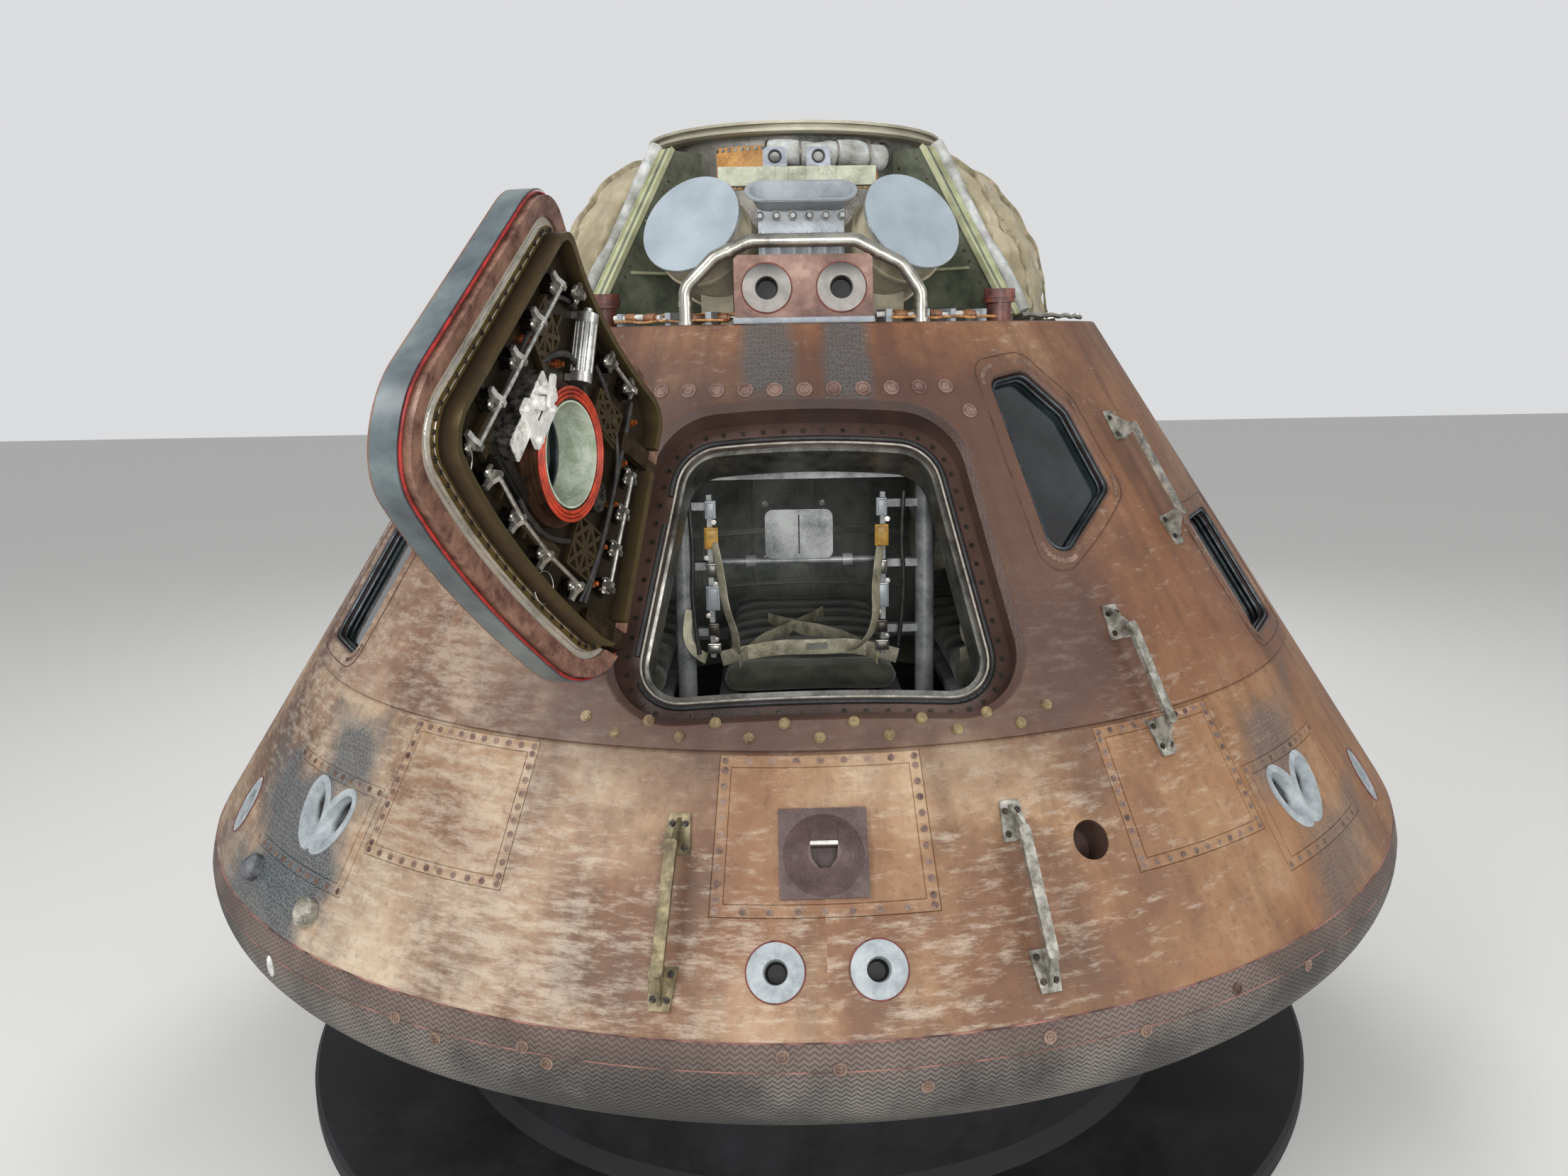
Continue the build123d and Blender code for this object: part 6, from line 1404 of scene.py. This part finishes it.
# Couch frame, tubes and headrest: grey enamelled tube and plate, rubbed in patches, with
# latches, knobs and short yellow release tabs on the upright plates.
couch_enamel = worn_finish("grey_enamelled_tube", "#5d6062", "#a2a4a2", 0.42, 0.25, grain_mm=4, patch_mm=110)
wear(node["couch_frame"], couch_enamel)
yellow_tab = worn_finish("ochre_enamel_tab", "#8a6a24", "#c99a3c", 0.45, grain_mm=3, patch_mm=30)
strut_y = front + 0.100
for side, x in ((-1, -0.274), (1, 0.209)):
    for rank, (rise, tall, finish) in enumerate((
            (1.610, 0.050, grey_casting), (1.530, 0.060, yellow_tab), (1.440, 0.040, frame_alloy),
            (1.360, 0.070, grey_casting), (1.270, 0.036, dark_bolt), (1.215, 0.030, frame_alloy))):
        fitting = block((0.030 + 0.008 * (rank % 2), 0.020, tall),
                        (x - side * 0.004, strut_y - 0.036, lift + rise))
        step_face(fitting, [(0.005, 0.006)], (0, -1, 0))
        bpy.ops.mesh.select_all(action="SELECT")
        bpy.ops.mesh.bevel(offset=0.0015, segments=2)
        settle(fitting, f"strut_fitting_{rank}_{side + 2}", finish)
knob = turned_disc([(0.0075, 0.010), (0.0015, 0), (0.001, 0.004), (0.0015, 0.006)], 12)
face_out = Matrix.Rotation(pi / 2, 4, "X")
repeat(knob,
       [Matrix.Translation((x + dx, strut_y - 0.031, lift + rise)) @ face_out for x in (-0.274, 0.209)
        for dx, rise in ((0.012, 1.575), (-0.010, 1.475), (0.012, 1.400), (-0.010, 1.310), (0.010, 1.240))],
       "strut_knobs", bright_bead)


def by_struts(rows):
    """Points from x, how far behind the upright tubes and how high over the stand they lie."""
    return [(x, strut_y + behind, lift + rise) for x, behind, rise in rows]


# straps that hang from the upright plates, and hoses beside them
hanging_rows = [
    [(-0.262, -0.056, 1.520), (-0.244, -0.075, 1.440), (-0.236, -0.066, 1.340), (-0.206, -0.050, 1.250),
     (-0.212, 0.020, 1.190)],
    [(0.200, -0.056, 1.500), (0.182, -0.072, 1.400), (0.190, -0.060, 1.300), (0.160, -0.040, 1.220),
     (0.120, 0.020, 1.185)],
    [(-0.335, -0.050, 1.330), (-0.350, -0.064, 1.270), (-0.330, -0.060, 1.210), (-0.296, -0.020, 1.180)],
]
for rank, rows in enumerate(hanging_rows):
    flat_strap(by_struts(rows), f"hanging_strap_{rank}", harness_web, 0.0014, 0.014)
hose_rows = [
    [(-0.330, -0.040, 1.640), (-0.318, -0.052, 1.500), (-0.332, -0.044, 1.350), (-0.312, -0.048, 1.200)],
    [(0.268, -0.030, 1.650), (0.256, -0.050, 1.520), (0.272, -0.046, 1.380), (0.250, -0.040, 1.210)],
]
for rank, rows in enumerate(hose_rows):
    settle(run_tube(by_struts(rows), 0.0065), f"strut_hose_{rank}", cable_sleeve, smooth=80)

# Display console and back panels: grey-green painted panels with rows of toggle switches, guards
# and round dials with no lettering.
panel_grey = worn_finish("grey_green_panel_paint", "#6b706b", "#a0a49b", 0.5, grain_mm=4, patch_mm=150)
for name in ("display_console", "side_consoles"):
    wear(node[name], panel_grey)
wear(node["rear_lockers"],
     worn_finish("grey_locker_paint", "#82857f", "#b3b4ab", 0.5, grain_mm=5, patch_mm=220))
wear(node["cabin_floor"],
     worn_finish("grey_floor_plate", "#3d3e3a", "#66665f", 0.6, 0.2, grain_mm=5, patch_mm=160))
console_low, console_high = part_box("display_console")
slope_top = Vector((0, console_low[1] + 0.080, console_high[2]))
slope_low = Vector((0, console_low[1], console_high[2] - 0.2647))
across, upwards = Vector((1, 0, 0)), (slope_top - slope_low).normalized()
console_face = placed(Vector(), across, upwards, across.cross(upwards))
switch = turned_disc([(0.0070, 0.004), (0.0035, 0.0), (0.0008, 0.018)], 8)
switch_places = [Matrix.Translation(slope_low.lerp(slope_top, 0.15 + 0.17 * j) + across * (0.043 * k - 0.50))
                 @ console_face for j in range(5) for k in range(24) if (k * 7 + j * 3) % 5]
# two rows of switches, a guard rail and its posts on the upright band under the sloping face
low_switches = [Matrix.Translation((-0.50 + 0.040 * k, console_low[1], console_low[2] + rise)) @ face_out
                for rise in (0.018, 0.042) for k in range(26) if (k + round(rise * 500)) % 7]
repeat(switch, switch_places + low_switches, "console_switches", bright_bead)
guard_rows = [(-0.400, 0.0), (-0.396, 0.030), (-0.370, 0.042), (0.0, 0.044), (0.340, 0.042), (0.366, 0.030),
              (0.370, 0.0)]
guard = [(x, console_low[1] - depth, console_low[2] + 0.008) for x, depth in guard_rows]
settle(run_tube(guard, 0.0075), "console_guard_rail", cable_sleeve, smooth=80)
bezel = turned_disc([(0.034, 0.006), (0.005, 0), (0.002, -0.004)], 28)
repeat(bezel, [Matrix.Translation(slope_low.lerp(slope_top, 0.5) + Vector((x, 0, 0))) @ console_face
               for x in (-0.34, -0.12, 0.12, 0.34)], "console_dials", cable_sleeve)
# stowage bags beside the right-hand couch: pale cloth, filled and creased
bag_cloth = worn_finish("pale_beta_cloth_bag", "#8f8a76", "#d2cdb9", 0.8, grain_mm=3, patch_mm=50, dent=0.3)
bag_rows = [
    ("side_bag", (0.435, pads_high[1] - 0.330, lift + 1.480), (0.150, 0.110, 0.340)),
    ("couch_bag", (0.560, front + 0.110, top + 0.060), (0.230, 0.150, 0.085)),
]
for name, spot, size in bag_rows:
    bag = block(size, spot, bevel=0.026, segments=3)
    inflate(bag, 0.009, 5.0, 0.014, frames=14)
    for v in bag.data.vertices:
        v.co += v.normal * (noise.noise(v.co * 19.0) * 0.010 + noise.noise(v.co * 47.0) * 0.004)
    settle(bag, name, bag_cloth, smooth=180)

# locker doors behind the couches, each a framed panel with a latch
locker_r = 0.820
locker_rows = [(az, rise) for rise in (0.95, 1.17, 1.40) for az in (133, 150, 167, 184, 201, 218)]
door = block((0.235, 0.205, 0.012), (0, 0, 0.006))
step_face(door, [(0.014, -0.006), (0.050, 0.005)])
turned = Matrix.Rotation(pi, 4, "Y")
repeat(door, [round_tunnel(az, rise, -0.005, locker_r) @ turned for az, rise in locker_rows],
       "locker_doors", panel_grey)
latch = turned_disc([(0.013, 0.006), (0.003, 0.0), (0.002, 0.006)], 14)
repeat(latch, [round_tunnel(az + 5.6, rise, -0.012, locker_r) @ turned for az, rise in locker_rows],
       "locker_latches", bright_bead)

# Stand: a low black platform and drum, matt painted, and greyer where dust lies on it. The black is
# partly painted shadow: the wide platform is black where the craft's shadow falls on the floor.
stand_black_and_painted_shadow, tree, shader = new_finish("matt_black_stand_and_painted_shadow", "#121213", 0.75)
place = add_node(tree, "TexCoord").outputs["Object"]
dust = add_node(tree, "TexNoise", {"Vector": place, "Scale": 3.5, "Detail": 10.0, "Roughness": 0.7})
tone = add_node(tree, "ValToRGB", {0: dust}, stops=[(0.38, "#0d0d0e"), (0.70, "#26262a")])
texture = add_node(tree, "TexNoise", {"Vector": place, "Scale": 220.0, "Detail": 2.0})
bump = add_node(tree, "Bump", {"Height": texture, "Strength": 0.2, "Distance": 0.001})
rough = add_node(tree, "MapRange",
                 {"Value": dust, "From Min": 0.35, "From Max": 0.7, "To Min": 0.62, "To Max": 0.85})
set_inputs(tree, shader, {"Base Color": tone, "Roughness": rough, "Normal": bump})
# the plinth's matt black is partly the stand's paint and partly painted shadow under the craft
wear(node["plinth"], stand_black_and_painted_shadow)

low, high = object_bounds()
